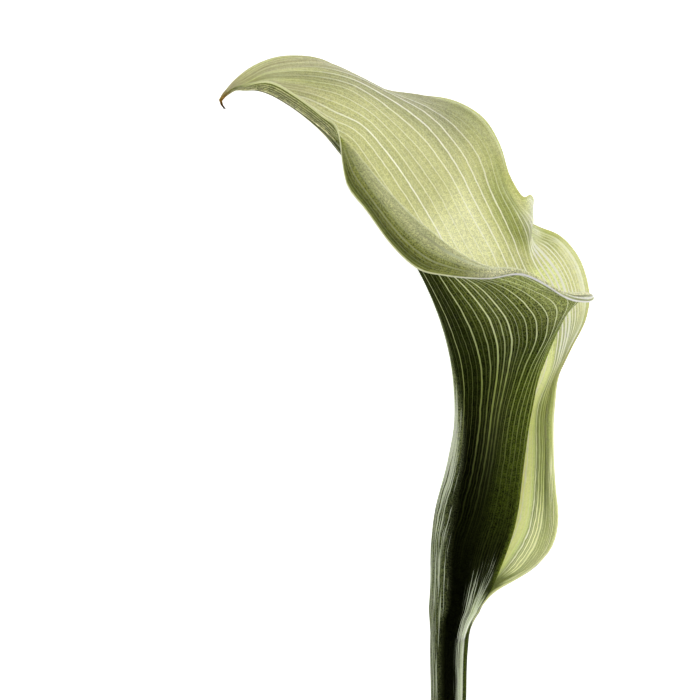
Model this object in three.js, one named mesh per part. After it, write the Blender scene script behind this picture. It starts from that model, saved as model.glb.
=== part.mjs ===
// A cut calla lily flower lying on its side, in millimetres, +Z up.
//
// The flower is drawn in its own frame first: x to the right, y up the stem toward the tip of the
// spathe, z up. The stem runs down -y from the spathe's foot near the origin. At the end the whole
// group is shifted so that its origin is the middle of the footprint, on the surface it lies on.

import * as THREE from 'three';

// ---------------------------------------------------------------- driving dimensions (mm)

const SPATHE_THICKNESS_FOOT = 1.3;    // fleshy where the sheet joins the stem
const SPATHE_THICKNESS_LIMB = 0.7;    // thin where it opens
const SPATHE_THICKNESS_TIP = 0.6;     // the drawn-out point
const LIMB_STARTS = 0.5;              // share of the way from foot to tip
const TIP_STARTS = 0.9;

const SPATHE_FOOT = -2;               // height on the stem's axis where the spathe starts
const STEM_CUT = -176;                // height where the stem is cut
const STEM_CUT_RADIUS = 5.0;
const STEM_RIBS = 12;
const STEM_RIB_HEIGHT = 0.12;
const STEM_SIDES = 48;
const STEM_RINGS = 26;
const STEM_CROWDING = 1.6;            // how much closer its rings are toward the spathe

const SPADIX_LENGTH = 61;
const SPADIX_RADIUS = 3.4;
const SPADIX_NECK = 0.74;             // its waist at the foot, as a share of the full radius
const SPADIX_WIDEST = 0.31;           // share of the way up where it is widest
const SPADIX_ROUND_END = 0.1;         // share of its length that the rounded top takes
const FLORET_HEIGHT = 0.35;
const FLORETS_ROUND = 13;             // pairs of florets round the spike
const FLORET_ROWS = 44;

const GAP = 0.3;                      // left between neighbouring pieces

const SPATHE_COLOR = 0xb9bd7e;
const STEM_COLOR = 0x3f4f24;
const SPADIX_COLOR = 0xd9c34a;

// ---------------------------------------------------------------- the spathe's rails
//
// The spathe is one leaf. Its veins run from the foot to the tip, so it is lofted across rails that
// follow them, in order from the near margin, round the tube's front, midrib and back, to the far
// margin. Each point is [share of the way from foot to tip, x, y, z].

const RAILS = {
  // the near margin: tucked inside the tube, out to the horn, then along the rolled rim
  marginA: [
    [0, 6.1, -2, 1.3], [0.06, 9, 4, 0], [0.12, 11, 12, -1], [0.2, 13.5, 22, -1.5],
    [0.27, 15, 34, -1.5], [0.35, 16.5, 48, -1.5], [0.41, 20, 58, -0.5], [0.45, 25.3, 67.5, 1.2],
    [0.475, 28.6, 72.8, 2.2], [0.49, 32, 74.7, 3.4], [0.503, 35.6, 75.2, 5.2],
    [0.517, 34.4, 74.5, 8.2], [0.53, 31, 74.7, 11.9], [0.545, 27.6, 76, 15.1],
    [0.558, 23.6, 78.5, 17.7], [0.575, 18.6, 80.9, 20.3], [0.61, 9, 80.2, 22], [0.65, -1.5, 81, 23.5],
    [0.69, -9, 83.2, 22.5], [0.72, -15, 89, 20], [0.75, -21, 97.3, 17], [0.77, -25.7, 103.6, 14],
    [0.785, -27, 110, 10.6], [0.8, -27.7, 116, 8.4], [0.84, -32.2, 121.2, 4.5],
    [0.88, -39.2, 126.5, 3.6], [0.92, -45, 129.5, 2.9], [0.96, -51, 128.7, 2],
    [0.98, -54.8, 127.36, 1.3], [0.99, -57.4, 125, 0.8], [1, -56.3, 122.8, 0.45],
  ],
  // the middle of the rolled rim
  lip: [
    [0, 6.7, -2, 2.5], [0.06, 10.2, 4, 1.4], [0.12, 12.9, 12, 0.6], [0.2, 15.6, 22, 0.5],
    [0.27, 17.2, 34, 0.5], [0.35, 19, 48, 0.7], [0.41, 22.6, 58, 2], [0.45, 26.8, 67.6, 3.4],
    [0.475, 30, 73.4, 4], [0.49, 33, 75.2, 4.8], [0.503, 35.5, 75.8, 5.8], [0.517, 34.3, 75.6, 9.1],
    [0.53, 30.9, 75.7, 12.3], [0.545, 27.4, 76.9, 15.3], [0.558, 23.6, 79.2, 17.7],
    [0.575, 18.7, 81.7, 20.2], [0.61, 9, 81.8, 23.4], [0.65, 0, 83.6, 24.8], [0.69, -7, 87, 23.8],
    [0.72, -13, 92.6, 21.6], [0.75, -19.2, 100.6, 18], [0.77, -23.6, 107, 14.5], [0.785, -26, 112, 11],
    [0.8, -27.75, 115.95, 7.6], [0.84, -32.6, 120.9, 4], [0.88, -39.5, 125.9, 3.1],
    [0.92, -45.3, 128.8, 2.5], [0.96, -51, 128.3, 1.75], [0.98, -54.8, 127.27, 1.1],
    [0.99, -57.37, 124.97, 0.68], [1, -56.3, 122.8, 0.38],
  ],
  // where the tube turns inward, then the top of the roll
  crest: [
    [0, 6.4, -2, 3.7], [0.06, 10.1, 4.2, 3.2], [0.12, 13.5, 12, 3], [0.2, 16.4, 22, 3.2],
    [0.27, 18.1, 35, 3.4], [0.35, 20.2, 48, 3.8], [0.41, 23, 60, 5], [0.45, 27, 69, 6],
    [0.475, 30.6, 73.6, 6.2], [0.49, 33, 75.6, 6.4], [0.503, 34.5, 76.4, 7], [0.517, 32.6, 76.5, 9.4],
    [0.53, 29.6, 76.4, 12], [0.545, 26.4, 77.4, 14.7], [0.558, 22.9, 79.5, 17],
    [0.575, 18.1, 82, 19.3], [0.61, 9.5, 82.9, 22.6], [0.65, 2, 86.4, 23.4], [0.69, -4.5, 91.2, 22.6],
    [0.72, -10.5, 96.2, 20.6], [0.75, -17.5, 103.8, 16.8], [0.775, -23, 110.6, 12.4],
    [0.8, -27.8, 115.8, 6.7], [0.84, -33, 120.5, 3.4], [0.88, -39.8, 125.2, 2.6],
    [0.92, -45.5, 128.2, 2], [0.96, -51, 128.25, 1.4], [0.98, -54.8, 127.18, 0.9],
    [0.99, -57.33, 124.93, 0.54], [1, -56.3, 122.8, 0.31],
  ],
  // the tube's front
  frontRight: [
    [0, 5, -2, 4.7], [0.06, 6.8, 4, 5.6], [0.12, 9.2, 12, 6.4], [0.2, 12.3, 22, 7.2],
    [0.27, 14.3, 34, 7.8], [0.35, 16.5, 48, 8.6], [0.41, 20, 58.5, 10.5], [0.46, 23.8, 67, 12.2],
    [0.49, 23.6, 71.8, 14], [0.515, 20.4, 75.3, 16.4], [0.545, 15, 78.6, 18.6],
    [0.58, 8.5, 80.6, 20.2], [0.62, 2, 83.6, 20.8], [0.66, -4, 87.9, 20.3], [0.7, -10, 94.4, 18.3],
    [0.74, -16.5, 102.2, 15.3], [0.78, -24, 111.3, 10], [0.8, -28.1, 115.5, 5.2],
    [0.84, -33.5, 120.1, 2.7], [0.88, -40, 124.7, 2], [0.92, -45.7, 127.65, 1.4],
    [0.96, -51, 127.95, 1], [0.98, -54.8, 127.11, 0.65], [0.99, -57.3, 124.9, 0.38],
    [1, -56.3, 122.8, 0.22],
  ],
  frontLeft: [
    [0, -0.5, -2, 5], [0.06, -0.2, 4, 6.2], [0.12, 0.6, 13, 7.2], [0.2, 3.4, 23, 8.2],
    [0.27, 6, 34, 8.8], [0.35, 7.6, 47, 9.8], [0.42, 7.8, 59, 12], [0.48, 4.6, 69, 14.5],
    [0.54, -0.5, 78, 15.8], [0.6, -6, 86, 15.5], [0.66, -12, 94, 13.5], [0.72, -18.5, 102, 10.5],
    [0.77, -25, 110.4, 7], [0.8, -29, 115.3, 3], [0.84, -34.2, 119.9, 1.6], [0.88, -40.2, 124.2, 1],
    [0.92, -45.9, 127.25, 0.7], [0.96, -51, 127.7, 0.45], [0.98, -54.8, 127.07, 0.3],
    [0.99, -57.27, 124.87, 0.2], [1, -56.3, 122.8, 0.12],
  ],
  // the leaf's spine, the outline on the left
  midrib: [
    [0, -4.7, -2, 0], [0.05, -4.3, 4, 0], [0.12, -4.15, 13.5, 0], [0.18, -3.25, 22, 0],
    [0.27, -0.05, 35, 0.5], [0.36, 1.55, 47.5, 0.5], [0.42, 0.6, 59, 0.5], [0.48, -2.2, 70, 0.5],
    [0.55, -7.5, 82.5, 0], [0.62, -13.8, 92.5, -0.5], [0.69, -20.2, 102.2, -1],
    [0.76, -26.6, 111.8, -1], [0.8, -30.6, 116, -1], [0.84, -35, 120.1, -0.8],
    [0.88, -40.3, 124, -0.6], [0.92, -46.1, 127.05, -0.3], [0.96, -51, 127.6, -0.2],
    [0.98, -54.8, 127.05, -0.1], [0.99, -57.25, 124.85, 0], [1, -56.3, 122.8, 0],
  ],
  backLeft: [
    [0, -0.8, -2, -4.9], [0.06, -0.6, 4, -5.8], [0.12, 0.3, 13, -6.8], [0.2, 3, 23, -7.8],
    [0.27, 5.5, 34, -8.6], [0.35, 7.2, 47, -9.6], [0.42, 8, 59, -11.6], [0.48, 6.6, 70, -12.8],
    [0.54, 2.6, 80, -12.6], [0.6, -3, 89.5, -11], [0.66, -9, 100, -9], [0.72, -16.5, 111, -7.5],
    [0.77, -23.5, 118.5, -6], [0.8, -29, 121, -5], [0.84, -35, 124.2, -3.6],
    [0.88, -40.7, 126.2, -2.4], [0.92, -46, 128.2, -1.5], [0.96, -51, 127.95, -0.9],
    [0.98, -54.9, 127.11, -0.5], [0.99, -57.27, 124.87, -0.2], [1, -56.3, 122.8, -0.12],
  ],
  // the tube's back and the far limb
  back: [
    [0, 4, -2, -4.6], [0.06, 5, 4, -5.8], [0.12, 7, 12, -6.8], [0.2, 10.4, 22, -8],
    [0.27, 12.4, 34, -9], [0.35, 13.8, 48, -10.2], [0.42, 16, 59, -13], [0.48, 14.6, 72, -15.6],
    [0.54, 9.5, 84, -17], [0.6, 3.5, 95, -16.6], [0.66, -2.5, 106, -15], [0.72, -10.5, 116, -12.5],
    [0.77, -19.5, 124, -10.5], [0.8, -25.5, 127.8, -9], [0.84, -33.6, 129.6, -6.4],
    [0.88, -40.2, 130.2, -4.4], [0.92, -46, 130.2, -2.6], [0.96, -51.2, 128.4, -1.5],
    [0.98, -55, 127.27, -0.85], [0.99, -57.3, 124.9, -0.36], [1, -56.3, 122.8, -0.21],
  ],
  backRight: [
    [0, 6.4, -2, -2.8], [0.06, 9.4, 4.2, -3.8], [0.12, 12.2, 11, -5], [0.2, 16.3, 21, -6.4],
    [0.27, 18, 34, -7.5], [0.35, 19.4, 48, -8.6], [0.42, 23, 60, -11.6], [0.48, 21, 73, -15.6],
    [0.545, 14.4, 89.2, -19.4], [0.6, 9, 100, -19.6], [0.66, 3, 112, -19.5],
    [0.72, -5.5, 121.5, -17.5], [0.77, -15.8, 127.2, -15], [0.8, -23, 130.8, -12.5],
    [0.84, -31.8, 133.2, -9.2], [0.88, -39.3, 133.2, -6.4], [0.92, -46, 132, -3.8],
    [0.96, -51.4, 129.2, -2], [0.98, -55.1, 127.43, -1.15], [0.99, -57.35, 124.93, -0.5],
    [1, -56.3, 122.8, -0.29],
  ],
  // where the overlapping flap starts, then the foot of the pleat
  flapRoot: [
    [0, 7.2, -2, -1.4], [0.06, 11, 4, -2.6], [0.12, 15, 9.5, -3.8], [0.2, 20, 19.5, -5],
    [0.27, 21.4, 34, -6], [0.35, 22, 48, -6.8], [0.42, 26.3, 60, -10.2], [0.47, 26.5, 71, -13.6],
    [0.5, 24, 78.6, -16.6], [0.53, 20.8, 84.6, -19.4], [0.545, 19.9, 87.6, -20.4],
    [0.555, 19.4, 90.2, -20], [0.565, 18.6, 92.8, -18.9], [0.577, 17.2, 96, -18.9],
    [0.6, 13.8, 102, -20.2], [0.64, 9.8, 114, -22.8], [0.68, 3.4, 121.2, -23], [0.72, -5, 125, -22],
    [0.77, -15.5, 127.55, -18.5], [0.8, -22.5, 131.05, -15], [0.84, -31, 134.6, -11.5],
    [0.88, -38.8, 134.75, -7.7], [0.92, -45.7, 133.4, -4.7], [0.96, -51.6, 130, -2.5],
    [0.98, -55.25, 127.59, -1.4], [0.99, -57.4, 124.96, -0.62], [1, -56.3, 122.8, -0.36],
  ],
  flapFold: [
    [0, 7, -2, -0.7], [0.06, 11.5, 3.5, -2], [0.12, 17.6, 8, -3], [0.2, 23, 18.5, -4],
    [0.27, 24, 34, -4.2], [0.35, 24.3, 48, -4.6], [0.39, 26, 54.8, -6.3], [0.42, 28.3, 60.2, -8],
    [0.47, 30.3, 72, -11.4], [0.5, 28.2, 80.3, -14], [0.53, 23.6, 87, -18], [0.541, 21.7, 89, -20.6],
    [0.551, 20.6, 91.4, -21.6], [0.562, 20.9, 94.8, -18.6], [0.572, 20, 96.7, -18.2],
    [0.582, 18, 98.9, -18.9], [0.6, 15.2, 103.3, -20.1], [0.64, 11.3, 113.6, -23.2],
    [0.68, 5, 121.6, -24], [0.72, -4.5, 125.6, -23.2], [0.77, -15.8, 127.75, -19.5],
    [0.8, -22.6, 130.95, -16], [0.84, -31.1, 134.8, -12], [0.88, -38.6, 135.55, -8.4],
    [0.92, -45.5, 134.1, -5.3], [0.96, -51.8, 130.6, -2.9], [0.98, -55.4, 127.7, -1.6],
    [0.99, -57.45, 124.98, -0.72], [1, -56.3, 122.8, -0.41],
  ],
  flapMid: [
    [0, 7.1, -2, -0.1], [0.06, 11.8, 3.1, -1.4], [0.12, 20.2, 8.2, -2.2], [0.2, 25, 18.6, -2.8],
    [0.27, 24.8, 34, -1.8], [0.35, 24.9, 48, -1.8], [0.39, 26.5, 55.1, -4], [0.42, 29.1, 61, -6],
    [0.47, 32.8, 73, -9.6], [0.5, 30.8, 82.3, -12], [0.53, 25, 89.8, -17], [0.541, 22.3, 91, -20.2],
    [0.551, 20.4, 93.1, -22.1], [0.561, 20.9, 96.4, -19.6], [0.569, 20.6, 98.3, -18],
    [0.58, 18.9, 99.9, -18.4], [0.6, 15.6, 104.3, -19.9], [0.64, 12, 113.4, -24],
    [0.68, 5.8, 121.9, -24.4], [0.72, -4.5, 126, -24], [0.77, -16.3, 128.05, -20.2],
    [0.8, -23, 130.95, -16.8], [0.84, -31.2, 135, -12.6], [0.88, -38.5, 135.95, -8.9],
    [0.92, -45.4, 134.7, -5.8], [0.96, -51.9, 131.1, -3.2], [0.98, -55.5, 127.79, -1.8],
    [0.99, -57.5, 125, -0.81], [1, -56.3, 122.8, -0.46],
  ],
  // the far margin: flap, right lobe, pleat and far rim
  marginB: [
    [0, 7.2, -2, 0.6], [0.05, 11.5, 2.4, -0.8], [0.09, 18.8, 6.7, -1.2], [0.13, 24.6, 12, -1.4],
    [0.18, 27, 20, -1.6], [0.22, 26.4, 28, -1.2], [0.27, 25.9, 36, -1], [0.35, 26.2, 49, -1.2],
    [0.39, 27.4, 56.8, -2.8], [0.42, 30.5, 63.2, -5], [0.455, 34.3, 71, -7.4],
    [0.48, 34.9, 77.3, -8.6], [0.505, 32.2, 86, -10.6], [0.525, 27.4, 91.4, -14.4],
    [0.54, 22.4, 93.6, -20.2], [0.551, 20.5, 95.1, -22.8], [0.56, 21, 98, -20],
    [0.567, 21.2, 100.5, -18], [0.573, 20.5, 101.5, -17.6], [0.582, 18.9, 100.9, -18],
    [0.6, 15.7, 105.4, -19.6], [0.63, 12.9, 114.4, -24.6], [0.66, 8.6, 121.2, -25],
    [0.69, 1.6, 125.4, -25], [0.73, -10, 127.1, -25], [0.77, -18.5, 128.45, -20.8],
    [0.8, -24, 130.95, -17.5], [0.84, -31.5, 135.3, -13], [0.88, -38.4, 136.35, -9.5],
    [0.92, -45.3, 135.4, -6.3], [0.96, -52, 131.6, -3.5], [0.98, -55.6, 127.9, -2],
    [0.99, -57.55, 125.02, -0.9], [1, -56.3, 122.8, -0.5],
  ],
};

// Steps across the sheet between one rail and the next, and along it between these stations. They
// are closest where the rim curls and pleats.
const STEPS_ACROSS = [2, 2, 4, 4, 4, 4, 3, 3, 3, 2, 2, 2];
const STATIONS = [0, 0.4, 0.53, 0.59, 0.96, 1];
const STEPS_ALONG = [12, 12, 13, 17, 4];

// Half the width, in shares of the way and in rails, that a slope is taken over.
const NUDGE = 0.002;

// How often each point's facing is averaged with its neighbours'.
const FACING_PASSES = 6;

// ---------------------------------------------------------------- curves

// A smooth curve through points at given knots, with each tangent taken from both neighbours.
function curveAt(knots, points, at) {
  let i = 0;
  while (i < knots.length - 2 && at >= knots[i + 1]) i += 1;
  const slope = (k) => points[k + 1].clone().sub(points[k]).divideScalar(knots[k + 1] - knots[k]);
  const tangent = (k) => {
    if (k === 0) return slope(0);
    if (k === knots.length - 1) return slope(k - 1);
    const before = knots[k] - knots[k - 1];
    const after = knots[k + 1] - knots[k];
    return slope(k - 1).multiplyScalar(after).add(slope(k).multiplyScalar(before))
      .divideScalar(before + after);
  };
  const span = knots[i + 1] - knots[i];
  const u = (at - knots[i]) / span;
  const u2 = u * u;
  const u3 = u2 * u;
  return points[i].clone().multiplyScalar(2 * u3 - 3 * u2 + 1)
    .addScaledVector(tangent(i), span * (u3 - 2 * u2 + u))
    .addScaledVector(points[i + 1], 3 * u2 - 2 * u3)
    .addScaledVector(tangent(i + 1), span * (u3 - u2));
}

const rails = Object.values(RAILS).map((rows) => ({
  knots: rows.map((row) => row[0]),
  points: rows.map((row) => new THREE.Vector3(row[1], row[2], row[3])),
}));

// The rib across the sheet at one share of its length: one point on each rail, with knots that
// widen with the distance between them. The distances are never taken as nothing.
const LEAST_DISTANCE = 0.001;

function ribAt(along) {
  const points = rails.map((rail) => curveAt(rail.knots, rail.points, along));
  const knots = [0];
  for (let k = 1; k < points.length; k += 1) {
    const distance = points[k].distanceTo(points[k - 1]) + LEAST_DISTANCE;
    knots.push(knots[k - 1] + Math.sqrt(distance));
  }
  return { knots, points };
}

// A point of the sheet's middle surface: across counts rails, so 5.0 is the midrib.
function sheetPoint(rib, across) {
  const k = Math.min(Math.floor(across), rails.length - 2);
  const at = THREE.MathUtils.lerp(rib.knots[k], rib.knots[k + 1], across - k);
  return curveAt(rib.knots, rib.points, at);
}

function sheetThickness(along) {
  const limb = THREE.MathUtils.smoothstep(along, 0, LIMB_STARTS);
  const tip = THREE.MathUtils.smoothstep(along, TIP_STARTS, 1);
  const body = THREE.MathUtils.lerp(SPATHE_THICKNESS_FOOT, SPATHE_THICKNESS_LIMB, limb);
  return THREE.MathUtils.lerp(body, SPATHE_THICKNESS_TIP, tip);
}

// ---------------------------------------------------------------- meshes

function closedMesh(name, vertices, faces, material) {
  const geometry = new THREE.BufferGeometry();
  const positions = vertices.flatMap((v) => [v.x, v.y, v.z]);
  geometry.setAttribute('position', new THREE.Float32BufferAttribute(positions, 3));
  geometry.setIndex(faces.flat());
  geometry.computeVertexNormals();
  const mesh = new THREE.Mesh(geometry, material);
  mesh.name = name;
  return mesh;
}

function paint(color, roughness) {
  return new THREE.MeshStandardMaterial({ color, roughness, metalness: 0 });
}

// Two triangles for each cell of a grid, split alike, so both faces of a waved sheet stay parallel.
function cell(a, b, c, d) {
  return [[a, b, c], [a, c, d]];
}

// ---------------------------------------------------------------- spathe

// Unit vectors on a grid, each averaged with its four neighbours.
function averaged(vectors, rows, columns) {
  const at = (row, column) => {
    const r = THREE.MathUtils.clamp(row, 0, rows - 1);
    const c = THREE.MathUtils.clamp(column, 0, columns - 1);
    return vectors[r * columns + c];
  };
  return vectors.map((vector, index) => {
    const row = Math.floor(index / columns);
    const column = index % columns;
    return vector.clone().multiplyScalar(2)
      .add(at(row - 1, column))
      .add(at(row + 1, column))
      .add(at(row, column - 1))
      .add(at(row, column + 1))
      .normalize();
  });
}

function makeSpathe() {
  const acrossSteps = [];
  STEPS_ACROSS.forEach((steps, k) => {
    for (let i = 0; i < steps; i += 1) acrossSteps.push(k + i / steps);
  });
  acrossSteps.push(STEPS_ACROSS.length);

  const alongSteps = [];
  STEPS_ALONG.forEach((steps, k) => {
    for (let i = 0; i < steps; i += 1) {
      alongSteps.push(THREE.MathUtils.lerp(STATIONS[k], STATIONS[k + 1], i / steps));
    }
  });
  alongSteps.push(1);

  const columns = acrossSteps.length;
  const rows = alongSteps.length;

  const middles = [];
  let facings = [];
  for (const along of alongSteps) {
    const rib = ribAt(along);
    const before = ribAt(Math.max(0, along - NUDGE));
    const after = ribAt(Math.min(1, along + NUDGE));
    for (const across of acrossSteps) {
      const left = sheetPoint(rib, Math.max(0, across - NUDGE));
      const right = sheetPoint(rib, Math.min(rails.length - 1, across + NUDGE));
      const acrossward = right.sub(left);
      const alongward = sheetPoint(after, across).sub(sheetPoint(before, across));
      middles.push(sheetPoint(rib, across));
      facings.push(acrossward.cross(alongward).normalize());
    }
  }
  for (let pass = 0; pass < FACING_PASSES; pass += 1) facings = averaged(facings, rows, columns);

  // The two faces lie half a thickness to each side of the middle surface. The facings are
  // averaged so that the faces stay apart where the sheet curls tightly.
  const halves = alongSteps.map((along) => sheetThickness(along) / 2);
  const face = (side) => middles.map((middle, index) => {
    const half = side * halves[Math.floor(index / columns)];
    return middle.clone().addScaledVector(facings[index], half);
  });
  const inner = face(1);
  const outer = face(-1);

  const onInner = (row, column) => row * columns + column;
  const onOuter = (row, column) => rows * columns + onInner(row, column);
  const lastColumn = columns - 1;
  const lastRow = rows - 1;
  const faces = [];
  const rim = (r, c, nextR, nextC) => {
    faces.push(...cell(onInner(r, c), onInner(nextR, nextC), onOuter(nextR, nextC), onOuter(r, c)));
  };
  for (let r = 0; r < lastRow; r += 1) {
    for (let c = 0; c < lastColumn; c += 1) {
      const corners = [[r, c], [r, c + 1], [r + 1, c + 1], [r + 1, c]];
      faces.push(...cell(...corners.map(([row, column]) => onInner(row, column))));
      const under = cell(...corners.map(([row, column]) => onOuter(row, column)));
      faces.push(...under.map(([i, j, k]) => [i, k, j]));
    }
  }
  for (let r = 0; r < lastRow; r += 1) {
    rim(r, 0, r + 1, 0);
    rim(r + 1, lastColumn, r, lastColumn);
  }
  for (let c = 0; c < lastColumn; c += 1) {
    rim(0, c + 1, 0, c);
    rim(lastRow, c, lastRow, c + 1);
  }
  return closedMesh('spathe', [...inner, ...outer], faces, paint(SPATHE_COLOR, 0.55));
}

// ---------------------------------------------------------------- round pieces

// A closed solid of rings, each a list of the same number of points, capped flat at both ends.
function ringSolid(name, rings, material) {
  const sides = rings[0].length;
  const vertices = rings.flat();
  const faces = [];
  for (let r = 0; r < rings.length - 1; r += 1) {
    const here = r * sides;
    const beyond = here + sides;
    for (let s = 0; s < sides; s += 1) {
      const next = (s + 1) % sides;
      faces.push(...cell(here + s, here + next, beyond + next, beyond + s));
    }
  }
  const capCentre = (ring) => {
    const sum = new THREE.Vector3();
    ring.forEach((v) => sum.add(v));
    return sum.divideScalar(sides);
  };
  const first = vertices.push(capCentre(rings[0])) - 1;
  const end = vertices.push(capCentre(rings[rings.length - 1])) - 1;
  const lastRing = (rings.length - 1) * sides;
  for (let s = 0; s < sides; s += 1) {
    const next = (s + 1) % sides;
    faces.push([first, next, s]);
    faces.push([end, lastRing + s, lastRing + next]);
  }
  return closedMesh(name, vertices, faces, material);
}

// ---------------------------------------------------------------- stem

// Its axis and half widths, [y, x, z, half width in x, half width in z], from the spathe's foot,
// where it flares to the right, down to the cut, which lies on the surface. lowest is the height
// that the spathe's rim rests at.
function stemProfile(lowest) {
  return [
    [SPATHE_FOOT - GAP, 1.1, 0, 6.25, 5.5],
    [-5, 0.4, -0.1, 5.45, 5.1],
    [-8, 0, -0.2, 5.0, 4.85],
    [-12.5, -0.25, -0.4, 4.75, 4.65],
    [-25, -0.35, -1.2, 4.45, 4.45],
    [-60, -1.2, -5.2, 4.4, 4.4],
    [-110, -1.6, -12.2, 4.6, 4.6],
    [STEM_CUT, 0, lowest + STEM_CUT_RADIUS, STEM_CUT_RADIUS, STEM_CUT_RADIUS],
  ];
}

function makeStem(lowest) {
  const profile = stemProfile(lowest);
  const knots = profile.map((row) => -row[0]);
  const axis = profile.map((row) => new THREE.Vector3(row[1], row[0], row[2]));
  const widths = profile.map((row) => new THREE.Vector3(row[3], 0, row[4]));
  const rings = [];
  for (let r = 0; r <= STEM_RINGS; r += 1) {
    const share = (r / STEM_RINGS) ** STEM_CROWDING;
    const at = THREE.MathUtils.lerp(knots[0], knots[knots.length - 1], share);
    const centre = curveAt(knots, axis, at);
    const width = curveAt(knots, widths, at);
    const ring = [];
    for (let s = 0; s < STEM_SIDES; s += 1) {
      const turn = (2 * Math.PI * s) / STEM_SIDES;
      const rib = STEM_RIB_HEIGHT * (Math.cos(STEM_RIBS * turn) - 1);
      ring.push(new THREE.Vector3(
        centre.x + (width.x + rib) * Math.cos(turn),
        centre.y,
        centre.z + (width.z + rib) * Math.sin(turn),
      ));
    }
    rings.push(ring);
  }
  return ringSolid('stem', rings, paint(STEM_COLOR, 0.5));
}

// ---------------------------------------------------------------- spadix

// The square of the smallest share of its radius that the rounded end closes to.
const LEAST_END = 0.05;

// The spike of florets stands on the stem's end and leans with the tube that wraps it. Its florets
// are packed like a pine cone's scales, so alternate points of a fine grid are raised.
function makeSpadix() {
  const axis = new THREE.CatmullRomCurve3([
    new THREE.Vector3(1.7, SPATHE_FOOT, 0),
    new THREE.Vector3(4.2, 12, -0.4),
    new THREE.Vector3(8.0, 30, -0.4),
    new THREE.Vector3(9.9, 46, 0),
    new THREE.Vector3(9.9, SPATHE_FOOT + SPADIX_LENGTH, 0),
  ]);
  const sides = 2 * FLORETS_ROUND;
  const rings = [];
  for (let r = 0; r <= FLORET_ROWS; r += 1) {
    const share = r / FLORET_ROWS;
    const centre = axis.getPointAt(share);
    const forward = r === 0 ? new THREE.Vector3(0, 1, 0) : axis.getTangentAt(share);
    const sideways = new THREE.Vector3(0, 0, 1);
    const across = new THREE.Vector3().crossVectors(forward, sideways).normalize();
    sideways.crossVectors(across, forward).normalize();
    const quarterTurn = Math.PI / 2;
    const belly = Math.sin(quarterTurn * Math.min(2, share / SPADIX_WIDEST));
    const swell = THREE.MathUtils.lerp(SPADIX_NECK, 1, belly);
    const intoEnd = Math.max(0, (share - 1) / SPADIX_ROUND_END + 1);
    const roundOff = Math.sqrt(Math.max(LEAST_END, 1 - intoEnd ** 2));
    const atEnd = r === 0 || r === FLORET_ROWS;
    const ring = [];
    for (let s = 0; s < sides; s += 1) {
      const turn = (-2 * Math.PI * s) / sides;
      const raised = !atEnd && (r + s) % 2 === 0 ? FLORET_HEIGHT : 0;
      const radius = SPADIX_RADIUS * swell * roundOff - FLORET_HEIGHT + raised * roundOff;
      ring.push(centre.clone()
        .addScaledVector(across, radius * Math.cos(turn))
        .addScaledVector(sideways, radius * Math.sin(turn)));
    }
    rings.push(ring);
  }
  return ringSolid('spadix', rings, paint(SPADIX_COLOR, 0.7));
}

// ---------------------------------------------------------------- the flower

const flower = new THREE.Group();
const spathe = makeSpathe();
spathe.geometry.computeBoundingBox();
flower.add(spathe, makeStem(spathe.geometry.boundingBox.min.z), makeSpadix());

const reach = new THREE.Box3().setFromObject(flower);
const middle = reach.getCenter(new THREE.Vector3());
flower.position.set(-middle.x, -middle.y, -reach.min.z);

export default flower;
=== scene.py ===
"""One cut calla lily flower on a plain pale floor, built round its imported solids."""

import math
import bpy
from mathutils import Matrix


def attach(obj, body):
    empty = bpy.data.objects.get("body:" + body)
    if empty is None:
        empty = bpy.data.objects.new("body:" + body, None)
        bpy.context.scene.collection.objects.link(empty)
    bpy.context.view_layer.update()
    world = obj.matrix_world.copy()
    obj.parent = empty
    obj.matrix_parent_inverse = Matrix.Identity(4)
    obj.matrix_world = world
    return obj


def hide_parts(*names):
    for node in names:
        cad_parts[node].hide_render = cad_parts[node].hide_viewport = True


bl_info = {
    "name": "Calla Lily Flower",
    "version": (1, 0, 0),
    "blender": (4, 5, 0),
    "location": "View3D > Sidebar > Calla Lily",
    "description": "Makes a cut calla lily flower: its spathe, spadix and stem, and a plain stage",
    "category": "Add Mesh",
}

import bpy
import numpy as np
from mathutils import Vector

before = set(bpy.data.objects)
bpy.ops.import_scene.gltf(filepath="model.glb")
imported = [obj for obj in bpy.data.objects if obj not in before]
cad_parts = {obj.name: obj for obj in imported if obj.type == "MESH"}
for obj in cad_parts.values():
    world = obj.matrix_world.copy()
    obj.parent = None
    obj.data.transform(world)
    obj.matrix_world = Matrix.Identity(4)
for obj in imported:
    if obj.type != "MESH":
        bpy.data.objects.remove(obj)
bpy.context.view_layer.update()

MM = 0.001
BODY = "root"


def linear(red, green, blue):
    """A colour given as three values from 0 to 255, as the shaders' linear light."""

    def one(value):
        share = value / 255
        return share / 12.92 if share <= 0.04045 else ((share + 0.055) / 1.055) ** 2.4

    return one(red), one(green), one(blue)


# ------------------------------------------------------------------------------- the flower's shape
#
# Its own frame is in millimetres: x to the right, y up the stem toward the tip, z up. The stem's top
# is near the origin. These are the values that the solids are made from.

SPATHE_FOOT = -2.0
STEM_CUT = -176.0
STEM_CUT_RADIUS = 5.0

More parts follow.
